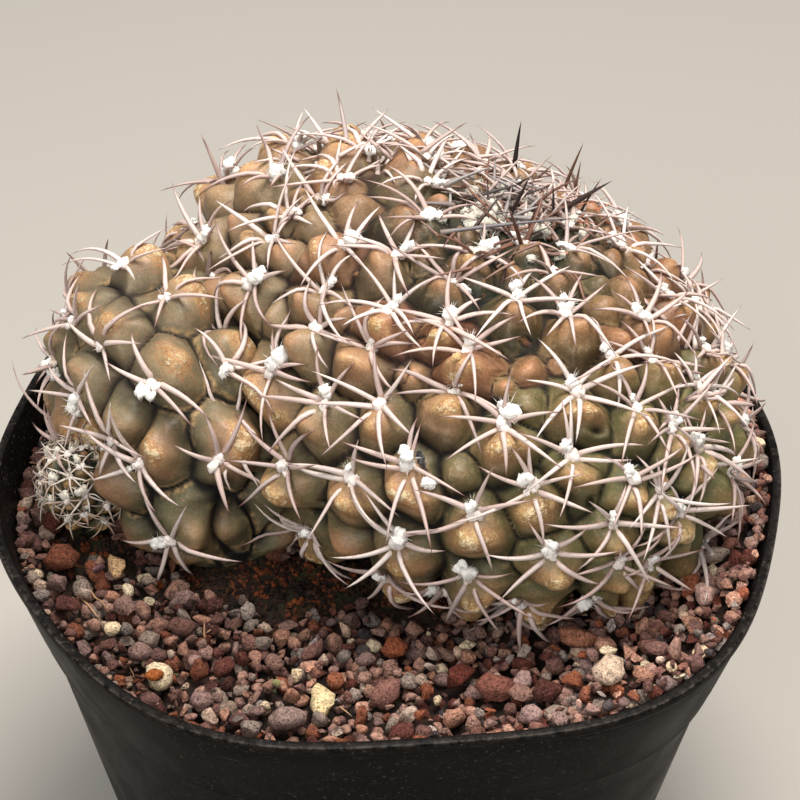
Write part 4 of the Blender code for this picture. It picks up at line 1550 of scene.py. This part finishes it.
@dataclass
class AreoleFelt:
    """The felt of a head's areoles: a pad round the spines' feet, and a white tuft on its crown side."""
    head: Head
    radius: float
    tuft_chance: float = 0.9
    pad_lumps: int = 4
    lumps: int = 5
    fibres: int = 14
    skip_below: float = SOIL_TOP + 2 * MM
    wool: WoolFinish = WHITE_WOOL

    def build(self) -> None:
        """Builds the pads and the tufts as two pieces."""
        found = self.head.areoles
        name = self.head.name
        pads = Felt(name + "_felt", name, FELT, self.head.seed + 8)
        tufts = Felt(name + "_wool", name, self.wool, self.head.seed + 9)
        draw = np.random.default_rng(self.head.seed + 10)
        full = math.sqrt(self.head.areole_area)
        for place, normal, crownward, side, size, spiny in zip(
                found.place, found.normal, found.crownward, found.side, found.size, found.spiny):
            if place[2] < self.skip_below or not spiny:
                continue
            axes = np.stack([side, crownward, normal])
            reach = self.radius * min(1.0, 0.4 + 0.6 * size / full)
            pads.add(place + normal * 0.2 * reach, axes, (1.0 * reach, 1.35 * reach, 0.55 * reach),
                     self.pad_lumps, 3, draw.uniform(-0.2, 0.4))
            if draw.random() > self.tuft_chance:
                continue
            tuft = reach * draw.choice((0.6, 0.85, 1.1, 1.4), p=(0.2, 0.38, 0.28, 0.14))
            centre = place + (np.array([draw.normal(0, 0.25), 1.0, 0.42]) * reach) @ axes
            spread = draw.uniform((0.75, 0.8, 0.6), (1.15, 1.35, 0.95))
            tufts.add(centre, axes, tuft * spread, self.lumps, self.fibres, draw.uniform(-0.25, 0.25))
        pads.build()
        tufts.build()


Wads = tuple[tuple[float, float, float, float], ...]


def drawn_wads(count: int, middle: Spot, halves: Spot) -> Wads:
    """Wads spread evenly over an oval: for each its place and size in mm, and its stain.

    Args:
        count: How many.
        middle: The oval's middle, in mm.
        halves: Half its sizes, in mm.

    Returns:
        The wads.
    """
    draw = random.Random(count)
    return tuple((*oval_spot(k, count, middle, halves), draw.uniform(1.0, 1.9), draw.uniform(0.1, 0.8))
                 for k in range(count))


CROWN_WADS = (
    (36.6, 12.4, 1.2, 0.1), (15.5, -1.5, 1.2, 0.3), (28.2, 6.1, 1.0, 0.5), (26.4, -0.4, 1.0, 0.3),
    (32.2, 3.1, 1.0, 0.4), (27.5, 36.0, 1.6, 0.2), (38.0, 18.0, 1.0, 0.3), (9.5, 12.0, 1.4, 0.3),
    *drawn_wads(10, (18.0, 13.5), (4.5, 4.5)), *drawn_wads(15, (24.0, 18.0), (11.5, 8.5)))
BRIGHT_WADS = (
    (43.5, 14.4, 1.6, 0.2), (6.9, 8.1, 1.4, 0.2), (13.4, -8.5, 1.3, 0.2), (23.8, -11.8, 1.2, 0.2),
    (32.6, -13.3, 1.2, 0.2), (7.4, -38.6, 1.2, 0.2))
BUD_WADS = ((12.2, -26.2, 0.95, 0.5), (19.6, -21.5, 0.7, 0.8), (-20.7, -17.7, 0.8, 0.9))
SCRAP_WADS = ((5.7, -34.2, 0.6, 0.3), (6.0, -35.2, 0.75, 0.3), (6.3, -36.3, 0.8, 0.3), (6.6, -37.3, 0.6, 0.3))
MOSS_WADS = ((-21.0, -55.0, 0.9, 0.3), (-19.2, -56.2, 0.8, 0.6), (-22.0, -56.8, 0.7, 0.8),
             (-20.2, -53.4, 0.6, 0.9), (-38.5, -51.5, 0.5, 0.7), (-7.0, -42.0, 0.6, 0.9))


@dataclass
class PlacedFelt:
    """Wads laid one by one on a surface: for each its place seen from above and size in mm, and its stain."""
    name: str
    tree: BVHTree
    slot: str
    finish: WoolFinish
    wads: Wads
    lumps: int
    fibres: int
    seed: int = 77

    def build(self) -> Object:
        """Lays each wad where a plumb line meets the surface.

        Returns:
            The piece.
        """
        felt = Felt(self.name, self.slot, self.finish, self.seed)
        draw = np.random.default_rng(self.seed + 1)
        for x, y, radius, tone in self.wads:
            spot, normal = plumb(self.tree, x * MM, y * MM)
            side = unit(np.cross(normal, draw.normal(0, 1, 3)))
            axes = np.stack([side, np.cross(normal, side), normal])
            spread = draw.uniform((1.3, 1.0, 0.8), (2.2, 1.6, 1.2)) * radius * MM
            felt.add(spot + normal * 0.4 * spread[2], axes, spread, self.lumps, self.fibres, tone - 0.35)
        return felt.build()


class Rock(Enum):
    """The kinds of grit, each with its colour and how common it is."""
    MAUVE = ((138, 106, 96), 0.20)
    COAL = ((64, 56, 56), 0.04)
    PLUM = ((110, 76, 68), 0.20)
    ROSE = ((164, 122, 104), 0.18)
    BRICK = ((128, 74, 52), 0.09)
    GREY = ((138, 122, 112), 0.11)
    OXBLOOD = ((86, 46, 38), 0.09)
    PALE = ((180, 154, 136), 0.06)
    CREAM = ((214, 192, 160), 0.02)


@dataclass(frozen=True)
class MarkedStone:
    """A stone that stands out: its place on the bed and half its sizes in mm, and its turn in degrees."""
    place: Spot
    halves: Sizes
    turn: float
    colour: Colour
    smooth: bool = True
    raised: float = 0.0


MARKED_STONES = (
    MarkedStone((-41.0, -54.2), (3.0, 2.9, 2.4), 10, (214, 192, 158)),
    MarkedStone((-41.8, -55.7), (1.7, 1.3, 1.0), 10, (146, 80, 34), raised=2.35),
    MarkedStone((-11.2, -59.5), (2.3, 4.3, 1.9), 8, (222, 196, 150)),
    MarkedStone((13.5, -54.0), (4.4, 3.2, 2.6), 25, (92, 42, 32), smooth=False),
    MarkedStone((20.5, -58.0), (4.0, 2.6, 2.2), -8, (118, 72, 60)),
    MarkedStone((41.0, -57.2), (2.9, 3.4, 2.3), -30, (208, 180, 156)),
    MarkedStone((59.8, -36.5), (2.2, 2.4, 2.0), 0, (196, 158, 144)),
    MarkedStone((62.3, -24.5), (3.6, 1.7, 1.3), 14, (150, 132, 118)),
    MarkedStone((29.5, -60.8), (2.8, 2.6, 2.2), 0, (78, 42, 36)),
    MarkedStone((-60.2, -35.0), (3.5, 2.8, 2.0), -30, (76, 42, 36), smooth=False),
    MarkedStone((-55.5, -26.5), (1.7, 3.4, 1.8), -25, (116, 82, 88), smooth=False),
    MarkedStone((-62.5, -21.8), (3.4, 3.0, 2.2), 0, (98, 54, 36)),
    MarkedStone((-49.0, -30.5), (1.3, 1.6, 1.3), 15, (206, 188, 158)),
    MarkedStone((-51.0, -41.2), (1.5, 1.6, 1.3), -40, (220, 194, 158)),
    MarkedStone((-52.0, -24.0), (1.7, 3.2, 2.0), 20, (190, 152, 112)),
    MarkedStone((-17.0, -64.5), (3.9, 2.6, 2.2), 10, (140, 116, 108)),
    MarkedStone((-33.0, -60.0), (2.2, 2.0, 1.8), 0, (132, 104, 98)),
    MarkedStone((2.0, -45.5), (2.4, 2.2, 1.8), 0, (128, 68, 44)),
    MarkedStone((36.0, -44.0), (4.6, 2.0, 1.8), -12, (150, 98, 76)))


@dataclass
class GravelBed:
    """Angular grit that lies in a settled layer over the soil, between the heads and the wall."""
    heads: tuple[Head, ...]
    count: int = 3800
    kinds: int = 12
    radii: Spot = (0.75 * MM, 2.6 * MM)
    wall_radius: float = 75.6 * MM
    wall_share: float = 0.22
    wall_flare: float = 0.27
    nearness: float = 0.8
    floor: float = SOIL_TOP - 1.2 * MM
    ceiling: float = SOIL_TOP + 3.6 * MM
    tries: int = 12
    most_misses: int = 400
    swell: float = 1.12
    shape_seed: int = 31
    laying_seed: int = 41
    look_seed: int = 43

    def broken_stone(self, draw: random.Random, name: str) -> Mesh:
        """The hull of nine scattered points with its edges worn.

        Args:
            draw: The random draws.
            name: The mesh's name.

        Returns:
            The stone.
        """
        bm = bmesh.new()
        for _ in range(9):
            spot = Vector([draw.gauss(0, 1) for _ in range(3)]).normalized()
            bm.verts.new(spot * draw.uniform(0.8, 1.1))
        hull = bmesh.ops.convex_hull(bm, input=bm.verts)
        spare = [item for item in hull["geom_interior"] if isinstance(item, BMVert)]
        bmesh.ops.delete(bm, geom=spare, context="VERTS")
        bmesh.ops.bevel(bm, geom=list(bm.edges), affect="EDGES", offset=0.17, segments=1, profile=0.5,
                        material=-1, clamp_overlap=True)
        bmesh.ops.recalc_face_normals(bm, faces=bm.faces)
        return finish_mesh(bm, name)

    def templates(self) -> list[Mesh]:
        """Stones of radius one, worn smooth and broken by turns.

        Returns:
            The stones.
        """
        draw = random.Random(self.shape_seed)
        stones = []
        for kind in range(self.kinds):
            name = f"stone_{kind}"
            if kind % 2:
                stones.append(self.broken_stone(draw, name))
            else:
                shift = Vector((draw.uniform(0, 50), 0, 0))
                stones.append(lumpy_ball(name, 2, 0.98, ((0.42, 1.1), (0.2, 3)), shift))
        return stones

    def furthest(self, x: Array, y: Array, radius: float) -> Array:
        """How far out a stone may lie in the direction of each place, against the leaning wall.

        Args:
            x: The places, across.
            y: The same, in depth.
            radius: The stone's radius.

        Returns:
            How far from the middle.
        """
        angle = np.arctan2(y, x)
        beside = self.wall_radius * np.stack([np.cos(angle), np.sin(angle)]) * rim_share(angle)
        wall = self.wall_radius + self.wall_flare * heap(*beside)
        return wall * rim_share(angle) - self.nearness * radius

    def is_free(self, x: Array, y: Array, radius: float) -> Array:
        """Whether a stone may lie there: inside the wall and outside each head's foot.

        Args:
            x: The places, across.
            y: The same, in depth.
            radius: The stone's radius.

        Returns:
            True where it may.
        """
        free = (np.hypot(x, y) < self.furthest(x, y, radius)) & (bareness(x, y) < 0.5)
        for head in self.heads:
            free &= head.stands_clear(x, y)
        return free

    def settle(self) -> Array:
        """Drops the stones one by one, each at the lowest of a few places.

        Returns:
            For each stone its centre and its radius.
        """
        draw = np.random.default_rng(self.laying_seed)
        laid = np.zeros((self.count, 4))
        number = misses = 0
        while number < self.count and misses < self.most_misses:
            radius = self.radii[0] + (self.radii[1] - self.radii[0]) * draw.beta(1.25, 3.0)
            spots = draw.uniform(-RIM_RADIUS, RIM_RADIUS, (self.tries, 2))
            if draw.random() < self.wall_share:
                gap = draw.uniform(0.01, 1.2, self.tries) * MM
                spots = unit(spots) * (self.furthest(*spots.T, radius) - gap)[:, None]
            spots = spots[self.is_free(*spots.T, radius)]
            if not len(spots):
                continue
            before = laid[:number]
            apart = np.hypot(spots[:, None, 0] - before[None, :, 0], spots[:, None, 1] - before[None, :, 1])
            touch = (radius + before[None, :, 3]) * self.nearness
            rest = before[None, :, 2] + np.sqrt(np.clip(touch ** 2 - apart ** 2, 0, None))
            rest = np.where(apart < touch, rest, self.floor)
            height = np.maximum(rest.max(1, initial=self.floor), self.floor + 0.3 * radius)
            best = int(np.argmin(height))
            if height[best] + 0.5 * radius > self.ceiling:
                misses += 1
                continue
            laid[number] = (*spots[best], height[best], radius)
            number += 1
        laid = laid[:number]
        laid[:, 2] += heap(laid[:, 0], laid[:, 1])
        return laid

    def build(self, marked: Sequence[MarkedStone]) -> list[Object]:
        """Builds the layer as three pieces, each with every third stone, and the marked stones as one more.

        Args:
            marked: The stones that stand out.

        Returns:
            The new objects.
        """
        laid = self.settle()
        kept = np.ones(len(laid), bool)
        for stone in marked:
            away = np.hypot(laid[:, 0] - stone.place[0] * MM, laid[:, 1] - stone.place[1] * MM)
            room = 0.55 * (stone.halves[0] + stone.halves[1]) * MM + 0.6 * laid[:, 3]
            kept &= (away > room) | (laid[:, 2] < SOIL_TOP + 0.4 * MM + heap(laid[:, 0], laid[:, 1]))
        stones = self.templates()
        shapes = [coordinates(mesh) for mesh in stones]
        draw = np.random.default_rng(self.look_seed)
        rocks = list(Rock)
        chances = np.array([rock.value[1] for rock in rocks])
        groups: dict[str, list] = {"grit_1": [], "grit_2": [], "grit_3": [], "marked_grit": []}
        for number, (x, y, z, radius) in enumerate(laid[kept]):
            colour, _ = rocks[int(draw.choice(len(rocks), p=chances / chances.sum()))].value
            # Each stone is painted lighter towards the right, as painted light, and darker under the front of
            # the heads: partly damp and partly painted shade.
            damp = math.exp(-((x + 8 * MM) / (40 * MM)) ** 4 - ((y + 28 * MM) / (17 * MM)) ** 4)
            warm, light = draw.normal(0, 0.05), draw.uniform(0.7, 1.25) * (1.08 + 4.8 * x) * (1 - 0.5 * damp)
            tint = np.array(linear(colour)) * (light * (1 + warm), light, light * (1 - warm), 1)
            kind = int(draw.integers(len(stones)))
            turn = any_turn(draw)
            squash = draw.uniform((0.9, 0.75, 0.6), (1.3, 1.05, 0.9))
            shape = (shapes[kind] * squash) @ turn * radius * self.swell + (x, y, z)
            groups[f"grit_{number % 3 + 1}"].append((kind, shape, tint))
        for number, stone in enumerate(marked):
            kind = 2 * (number % (len(stones) // 2)) + (0 if stone.smooth else 1)
            turn = np.array(Matrix.Rotation(math.radians(stone.turn), 3, "Z"))
            x, y = np.array(stone.place) * MM
            low = SOIL_TOP + heap(x, y) + (1.7 + stone.raised + 0.45 * stone.halves[2]) * MM
            shape = (shapes[kind] * np.array(stone.halves) * MM) @ turn.T + (x, y, low)
            groups["marked_grit"].append((kind, shape, linear(stone.colour)))
        material = GRIT.material()
        made = []
        for name, members in groups.items():
            mesh = repeated([stones[kind] for kind, _, _ in members], name)
            mesh.set_sharp_from_angle(angle=math.radians(55))
            move_vertices(mesh, np.concatenate([shape for _, shape, _ in members]))
            tints = [np.tile(tint, (len(shape), 1)) for _, shape, tint in members]
            set_values(mesh, "tint", np.concatenate(tints))
            made.append(add_piece(name, mesh, material))
        for mesh in stones:
            bpy.data.meshes.remove(mesh)
        return made


@dataclass
class Crumbs:
    """Crumbs of damp soil on the bare bed, most of them dark, with patches of rusty ones."""
    heads: tuple[Head, ...]
    count: int = 1500
    tries: int = 9000
    radii: Spot = (0.2 * MM, 0.95 * MM)
    colours: tuple[Colour, ...] = ((24, 16, 12), (38, 25, 18), (54, 35, 24))
    rusts: tuple[Colour, ...] = ((80, 40, 22), (106, 54, 27), (52, 30, 20))
    seed: int = 51

    def build(self, soil: BVHTree) -> Object:
        """Lays each crumb where a plumb line meets the soil.

        Args:
            soil: The soil's surface.

        Returns:
            The piece.
        """
        crumb = lumpy_ball("crumb", 1, 0.9, ((0.5, 1.7),))
        ball = coordinates(crumb)
        draw = np.random.default_rng(self.seed)
        spots = draw.uniform((-66 * MM, -46 * MM), (36 * MM, -8 * MM), (self.tries, 2))
        kept = bareness(spots[:, 0], spots[:, 1]) > draw.uniform(0.1, 0.7, len(spots))
        for head in self.heads:
            kept &= head.stands_clear(spots[:, 0], spots[:, 1])
        spots = spots[kept][:self.count]
        rust = clouds(np.column_stack([spots, np.zeros(len(spots))]), 6 * MM, 2.2) > 0.08
        places, tints = [], []
        for spot, rusty in zip(spots, rust):
            ground, _ = plumb(soil, *spot)
            radius = self.radii[0] + (self.radii[1] - self.radii[0]) * draw.beta(1.2, 2.5)
            turn = any_turn(draw)
            turned = (ball * draw.uniform(0.75, 1.25, 3)) @ turn * radius
            places.append(turned + ground + (0, 0, 0.3 * radius))
            colour = (self.rusts if rusty else self.colours)[int(draw.integers(3))]
            tints.append(np.tile(linear(colour), (len(ball), 1)))
        mesh = repeated([crumb] * len(places), "soil_crumbs")
        bpy.data.meshes.remove(crumb)
        move_vertices(mesh, np.concatenate(places))
        set_values(mesh, "tint", np.concatenate(tints))
        return add_piece("soil_crumbs", mesh, SOIL_CRUMBS.material())


@dataclass
class SoilBed:
    """The soil that fills the pot, its top uneven and raised a little against the heads."""
    rings: int = 60
    segments: int = 192
    wall_radius: float = 74.3 * MM
    skirt: tuple[Spot, ...] = ((71.8 * MM, 90.6 * MM), (70.6 * MM, 88.6 * MM), (50.9 * MM, 2.4 * MM))
    top: float = SOIL_TOP - 1.6 * MM

    def build(self) -> Object:
        """Draws rings from the middle to the wall, and a skirt down to the pot's floor.

        Returns:
            The piece.
        """
        bm = bmesh.new()
        bmesh.ops.create_circle(bm, cap_ends=True, cap_tris=True, segments=self.segments,
                                radius=self.wall_radius / self.rings)
        edges = [edge for edge in bm.edges if edge.is_boundary]
        for k in range(2, self.rings + 1):
            ring, edges = grow_ring(bm, edges)
            bmesh.ops.scale(bm, verts=ring, vec=(k / (k - 1), k / (k - 1), 1))
        bmesh.ops.translate(bm, verts=bm.verts, vec=(0, 0, self.top))
        top_count = len(bm.verts)
        before = (self.wall_radius, self.top)
        for radius, height in self.skirt:
            ring, edges = grow_ring(bm, edges)
            bmesh.ops.scale(bm, verts=ring, vec=(radius / before[0], radius / before[0], 1))
            bmesh.ops.translate(bm, verts=ring, vec=(0, 0, height - before[1]))
            before = (radius, height)
        bmesh.ops.contextual_create(bm, geom=edges)
        bmesh.ops.recalc_face_normals(bm, faces=bm.faces)
        mesh = finish_mesh(bm, "soil_bed")
        place = coordinates(mesh)
        place[:, :2] *= rim_share(np.arctan2(place[:, 1], place[:, 0]))[:, None]
        surface = np.arange(len(place)) < top_count
        bare = bareness(place[:, 0], place[:, 1])
        crumbs = clouds(place, 2.2 * MM, 1.7) * 0.7 * MM + clouds(place, 0.9 * MM, 5.1) * 0.35 * MM
        heaps = clouds(place, 14 * MM, 8.3) * 0.8 * MM
        place[:, 2] += np.where(surface, crumbs + heaps + heap(place[:, 0], place[:, 1]) + 1.6 * MM * bare, 0)
        move_vertices(mesh, place)
        set_values(mesh, "moss", bare)
        return add_piece("soil_bed", mesh, SOIL.material(), ["soil"])


@dataclass
class PotShell:
    """The moulded pot: a tapering body, a collar that steps out, a rolled lip and drain holes."""
    segments: int = 256
    wall: float = 1.5 * MM
    floor: float = 2.0 * MM
    lip_width: float = 2.2 * MM
    lip_depth: float = 1.8 * MM
    collar_depth: float = 21 * MM
    collar_foot_share: float = 0.925
    body_top_share: float = 0.908
    base_share: float = 0.66
    drain_holes: int = 6
    drain_radius: float = 4.0 * MM
    drain_ring: float = 37 * MM

    def profile(self) -> list[Spot]:
        """Radii and heights of the section, from the underside up over the lip and down to the floor.

        Returns:
            The section's points.
        """
        step = POT_HEIGHT - self.collar_depth
        base, foot, top = RIM_RADIUS * self.base_share, RIM_RADIUS * self.collar_foot_share, RIM_RADIUS
        shoulder = RIM_RADIUS * self.body_top_share

        def body(height: float) -> float:
            """The body's radius at a height."""
            return base + (shoulder - base) * height / step

        outer = [(base - 2.6 * MM, 0.6 * MM), (base - 2.2 * MM, 0.0), (base - 0.8 * MM, 0.0),
                 (base - 0.1 * MM, 0.5 * MM), (body(1.8 * MM), 1.8 * MM)]
        outer += [(body(step * k / 12), step * k / 12) for k in range(1, 12)]
        outer += [(body(step - 2.2 * MM), step - 2.2 * MM), (foot - 0.8 * MM, step - 0.5 * MM),
                  (foot - 0.15 * MM, step - 0.2 * MM), (foot, step + 0.6 * MM)]
        collar = top - 0.7 * MM
        low = POT_HEIGHT - self.lip_depth - 1.2 * MM
        outer += [(foot + (collar - foot) * k / 5, step + (low - step) * k / 5) for k in range(1, 6)]
        outer += [(collar + 0.02 * MM, low + 0.4 * MM), (top - 0.25 * MM, low + 0.8 * MM),
                  (top, low + 1.3 * MM), (top, POT_HEIGHT - 0.45 * MM),
                  (top - 0.12 * MM, POT_HEIGHT - 0.12 * MM), (top - 0.45 * MM, POT_HEIGHT)]
        inner_top = top - self.lip_width
        inner = [(inner_top + 0.5 * MM, POT_HEIGHT - 0.05 * MM), (inner_top, POT_HEIGHT - 0.6 * MM)]
        inner += [(inner_top - (inner_top - foot + self.wall) * k / 4,
                   POT_HEIGHT - (self.collar_depth - self.wall) * k / 4) for k in range(1, 5)]
        inner += [(shoulder - self.wall, step)]
        heights = [self.floor + (step - self.floor) * k / 8 for k in range(7, -1, -1)]
        return outer + inner + [(body(height) - self.wall, height) for height in heights]

    def drain(self, turn: float) -> Object:
        """A plug as wide as one drain hole, for cutting it.

        Args:
            turn: Where the hole is, round the floor.

        Returns:
            The plug.
        """
        bm = bmesh.new()
        bmesh.ops.create_cone(bm, cap_ends=True, segments=32, radius1=self.drain_radius,
                              radius2=self.drain_radius, depth=4 * self.floor)
        spot = (self.drain_ring * math.cos(turn), self.drain_ring * math.sin(turn), self.floor / 2)
        bmesh.ops.translate(bm, verts=bm.verts, vec=spot)
        return add_object("drain", finish_mesh(bm, "drain"))

    def build(self) -> Object:
        """Spins the section, closes its ends, pulls it to the rim's outline and cuts the holes.

        Returns:
            The pot.
        """
        bm = bmesh.new()
        section = [bm.verts.new((radius, 0, height)) for radius, height in self.profile()]
        edges = [bm.edges.new(pair) for pair in zip(section, section[1:])]
        bmesh.ops.spin(bm, geom=section + edges, cent=(0, 0, 0), axis=(0, 0, 1), dvec=(0, 0, 0),
                       angle=2 * math.pi, steps=self.segments, use_merge=True)
        bmesh.ops.remove_doubles(bm, verts=bm.verts, dist=0.001 * MM)
        bmesh.ops.holes_fill(bm, edges=[edge for edge in bm.edges if edge.is_boundary])
        bmesh.ops.recalc_face_normals(bm, faces=bm.faces)
        for vert in bm.verts:
            share = float(rim_share(math.atan2(vert.co.y, vert.co.x)))
            vert.co.x *= share
            vert.co.y *= share
        shell = add_object("pot_uncut", finish_mesh(bm, "pot_uncut"))
        plugs = [self.drain(2 * math.pi * (k + 0.5) / self.drain_holes) for k in range(self.drain_holes)]
        for plug in plugs:
            modifier = shell.modifiers.new("drain", "BOOLEAN")
            modifier.operation = "DIFFERENCE"
            modifier.solver = "EXACT"
            modifier.object = plug
        mesh = bpy.data.meshes.new_from_object(shell.evaluated_get(bpy.context.evaluated_depsgraph_get()))
        for spare in (shell, *plugs):
            data = spare.data
            bpy.data.objects.remove(spare)
            bpy.data.meshes.remove(data)
        mesh.shade_smooth()
        mesh.set_sharp_from_angle(angle=math.radians(38))
        place = coordinates(mesh)
        outline = rim_share(np.arctan2(place[:, 1], place[:, 0]))
        out = np.hypot(place[:, 0], place[:, 1]) / outline - RIM_RADIUS
        # The lip's outer edge, for its wear and its painted highlight.
        set_values(mesh, "edge", np.exp(-((out + 0.12 * MM) / (0.3 * MM)) ** 2
                                        - ((place[:, 2] - POT_HEIGHT) / (0.4 * MM)) ** 2))
        return add_piece("pot_shell", mesh, BLACK_PLASTIC.material(), ["pot"])


@dataclass
class Studio:
    """A plain pale floor, soft light and a camera at the photograph's viewing angle."""
    pitch: float = math.radians(37.91)
    roll: float = math.radians(-0.84)
    aside: float = 2.23 * MM
    above: float = 12.23 * MM
    distance: float = 515.05 * MM
    sensor: float = 36
    lens: float = 36 * 2600 / 800
    floor_size: float = 6.0
    floor_colour: Colour = (166, 160, 152)

    def floor(self) -> None:
        """Lays the floor."""
        bm = bmesh.new()
        bmesh.ops.create_grid(bm, x_segments=1, y_segments=1, size=self.floor_size / 2)
        mesh = finish_mesh(bm, "studio_floor")
        mesh.materials.append(Paint("studio_floor", self.floor_colour).finished(0.9))
        add_object("studio_floor", mesh)

    def lamp(self, name: str, place: Sizes, size: float, power: float, colour: Sizes) -> None:
        """Hangs a soft square lamp that faces the plant.

        Args:
            name: The lamp's name.
            place: Where it hangs.
            size: Its width.
            power: Its power in watts.
            colour: The colour of its light, as linear light.
        """
        light = bpy.data.lights.new(name, "AREA")
        light.size = size
        light.energy = power
        light.color = colour
        obj = add_object(name, light)
        obj.location = place
        obj.rotation_euler = (Vector((0, 0, POT_HEIGHT)) - Vector(place)).to_track_quat("-Z", "Y").to_euler()

    def light(self) -> None:
        """Hangs the lamps and sets the even light from all round."""
        self.lamp("key_softbox", (0.10, 0.10, 0.95), 0.45, 13.0, (1.0, 0.96, 0.91))
        self.lamp("front_softbox", (-0.35, -0.85, 0.8), 0.8, 9.2, (1.0, 0.98, 0.95))
        world = bpy.data.worlds.new("studio_air")
        world.use_nodes = True
        background = world.node_tree.nodes["Background"]
        background.inputs["Color"].default_value = (0.86, 0.93, 1.0, 1)
        background.inputs["Strength"].default_value = 0.34
        bpy.context.scene.world = world
        bpy.context.scene.view_settings.view_transform = "Standard"

    def camera(self) -> None:
        """Sets up the camera."""
        back = Vector((0, -math.cos(self.pitch), math.sin(self.pitch)))
        right = Vector((1, 0, 0))
        up = Vector((0, math.sin(self.pitch), math.cos(self.pitch)))
        place = right * self.aside + up * self.above + back * self.distance + Vector((0, 0, POT_HEIGHT))
        axes = Matrix((right, up, back)).transposed() @ Matrix.Rotation(-self.roll, 3, "Z")
        data = bpy.data.cameras.new("studio_camera")
        data.sensor_width = self.sensor
        data.lens = self.lens
        data.clip_start = 0.01
        obj = add_object("studio_camera", data)
        obj.matrix_world = Matrix.Translation(place) @ axes.to_4x4()
        bpy.context.scene.camera = obj

    def build(self) -> None:
        """Sets up the floor, the light and the camera."""
        self.floor()
        self.light()
        self.camera()


def main() -> None:
    """Builds the object's sub-assemblies in order, then the studio round it."""
    logging.basicConfig(level=logging.INFO, format="%(name)s: %(message)s")
    PotShell().build()
    soil = SoilBed().build()
    heads = (MAIN_HEAD, SIDE_HEAD, PUP)
    for head in heads:
        head.lay_areoles()
        head.build_skin()
    trees = [head.tree for head in heads]
    Armature(MAIN_HEAD, StarPlan()).build(trees)
    Armature(SIDE_HEAD, StarPlan(length=12.5 * MM, chances=(0.5, 0.5, 0.9, 0.9, 1.0, 1.0, 0.6))).build(trees)
    pup_plan = StarPlan(length=4.9 * MM, radius=0.25 * MM, stagger=0, skip_below=SOIL_TOP)
    Armature(PUP, pup_plan, PUP_SPINES, SpineForm(sides=5, rings=6)).build(trees)
    for name, finish, spines in (
            ("crown_spines_dark", DARK_SPINES, CROWN_DARK), ("crown_spines_brown", BROWN_SPINES, CROWN_BROWN),
            ("outer_spines", OLD_SPINES, OUTER), ("crown_spines_grey", GREY_SPINES, CROWN_GREY),
            ("crown_rusty_bits", RUSTY_BITS, RUSTY)):
        LoneSpines(name, MAIN_HEAD.tree, finish, MAIN_HEAD.name, spines).build()
    AreoleFelt(MAIN_HEAD, 2.2 * MM).build()
    AreoleFelt(SIDE_HEAD, 2.0 * MM, tuft_chance=0.75).build()
    AreoleFelt(PUP, 1.5 * MM, tuft_chance=1.0, pad_lumps=2, lumps=3, fibres=20, skip_below=SOIL_TOP,
               wool=PUP_WOOL).build()
    for name, finish, wads, lumps, fibres in (
            ("crown_wool", CROWN_WOOL, CROWN_WADS, 7, 16), ("bright_wool", WHITE_WOOL, BRIGHT_WADS, 9, 16),
            ("dry_buds", DRY_BUD, BUD_WADS, 5, 0), ("dark_scrap", DARK_SCRAP, SCRAP_WADS, 5, 3)):
        PlacedFelt(name, MAIN_HEAD.tree, MAIN_HEAD.name, finish, wads, lumps, fibres).build()
    Crumbs(heads).build(BVHTree.FromObject(soil, bpy.context.evaluated_depsgraph_get()))
    grit = GravelBed(heads).build(MARKED_STONES)
    bed = bmesh.new()
    for piece in (soil, *grit):
        bed.from_mesh(piece.data)
    ground = BVHTree.FromBMesh(bed)
    bed.free()
    LoneSpines("dry_straws", ground, STRAW, "soil", STRAWS).build()
    PlacedFelt("moss", ground, "soil", MOSS, MOSS_WADS, lumps=5, fibres=12).build()
    Studio().build()


if __name__ == "__main__":
    main()
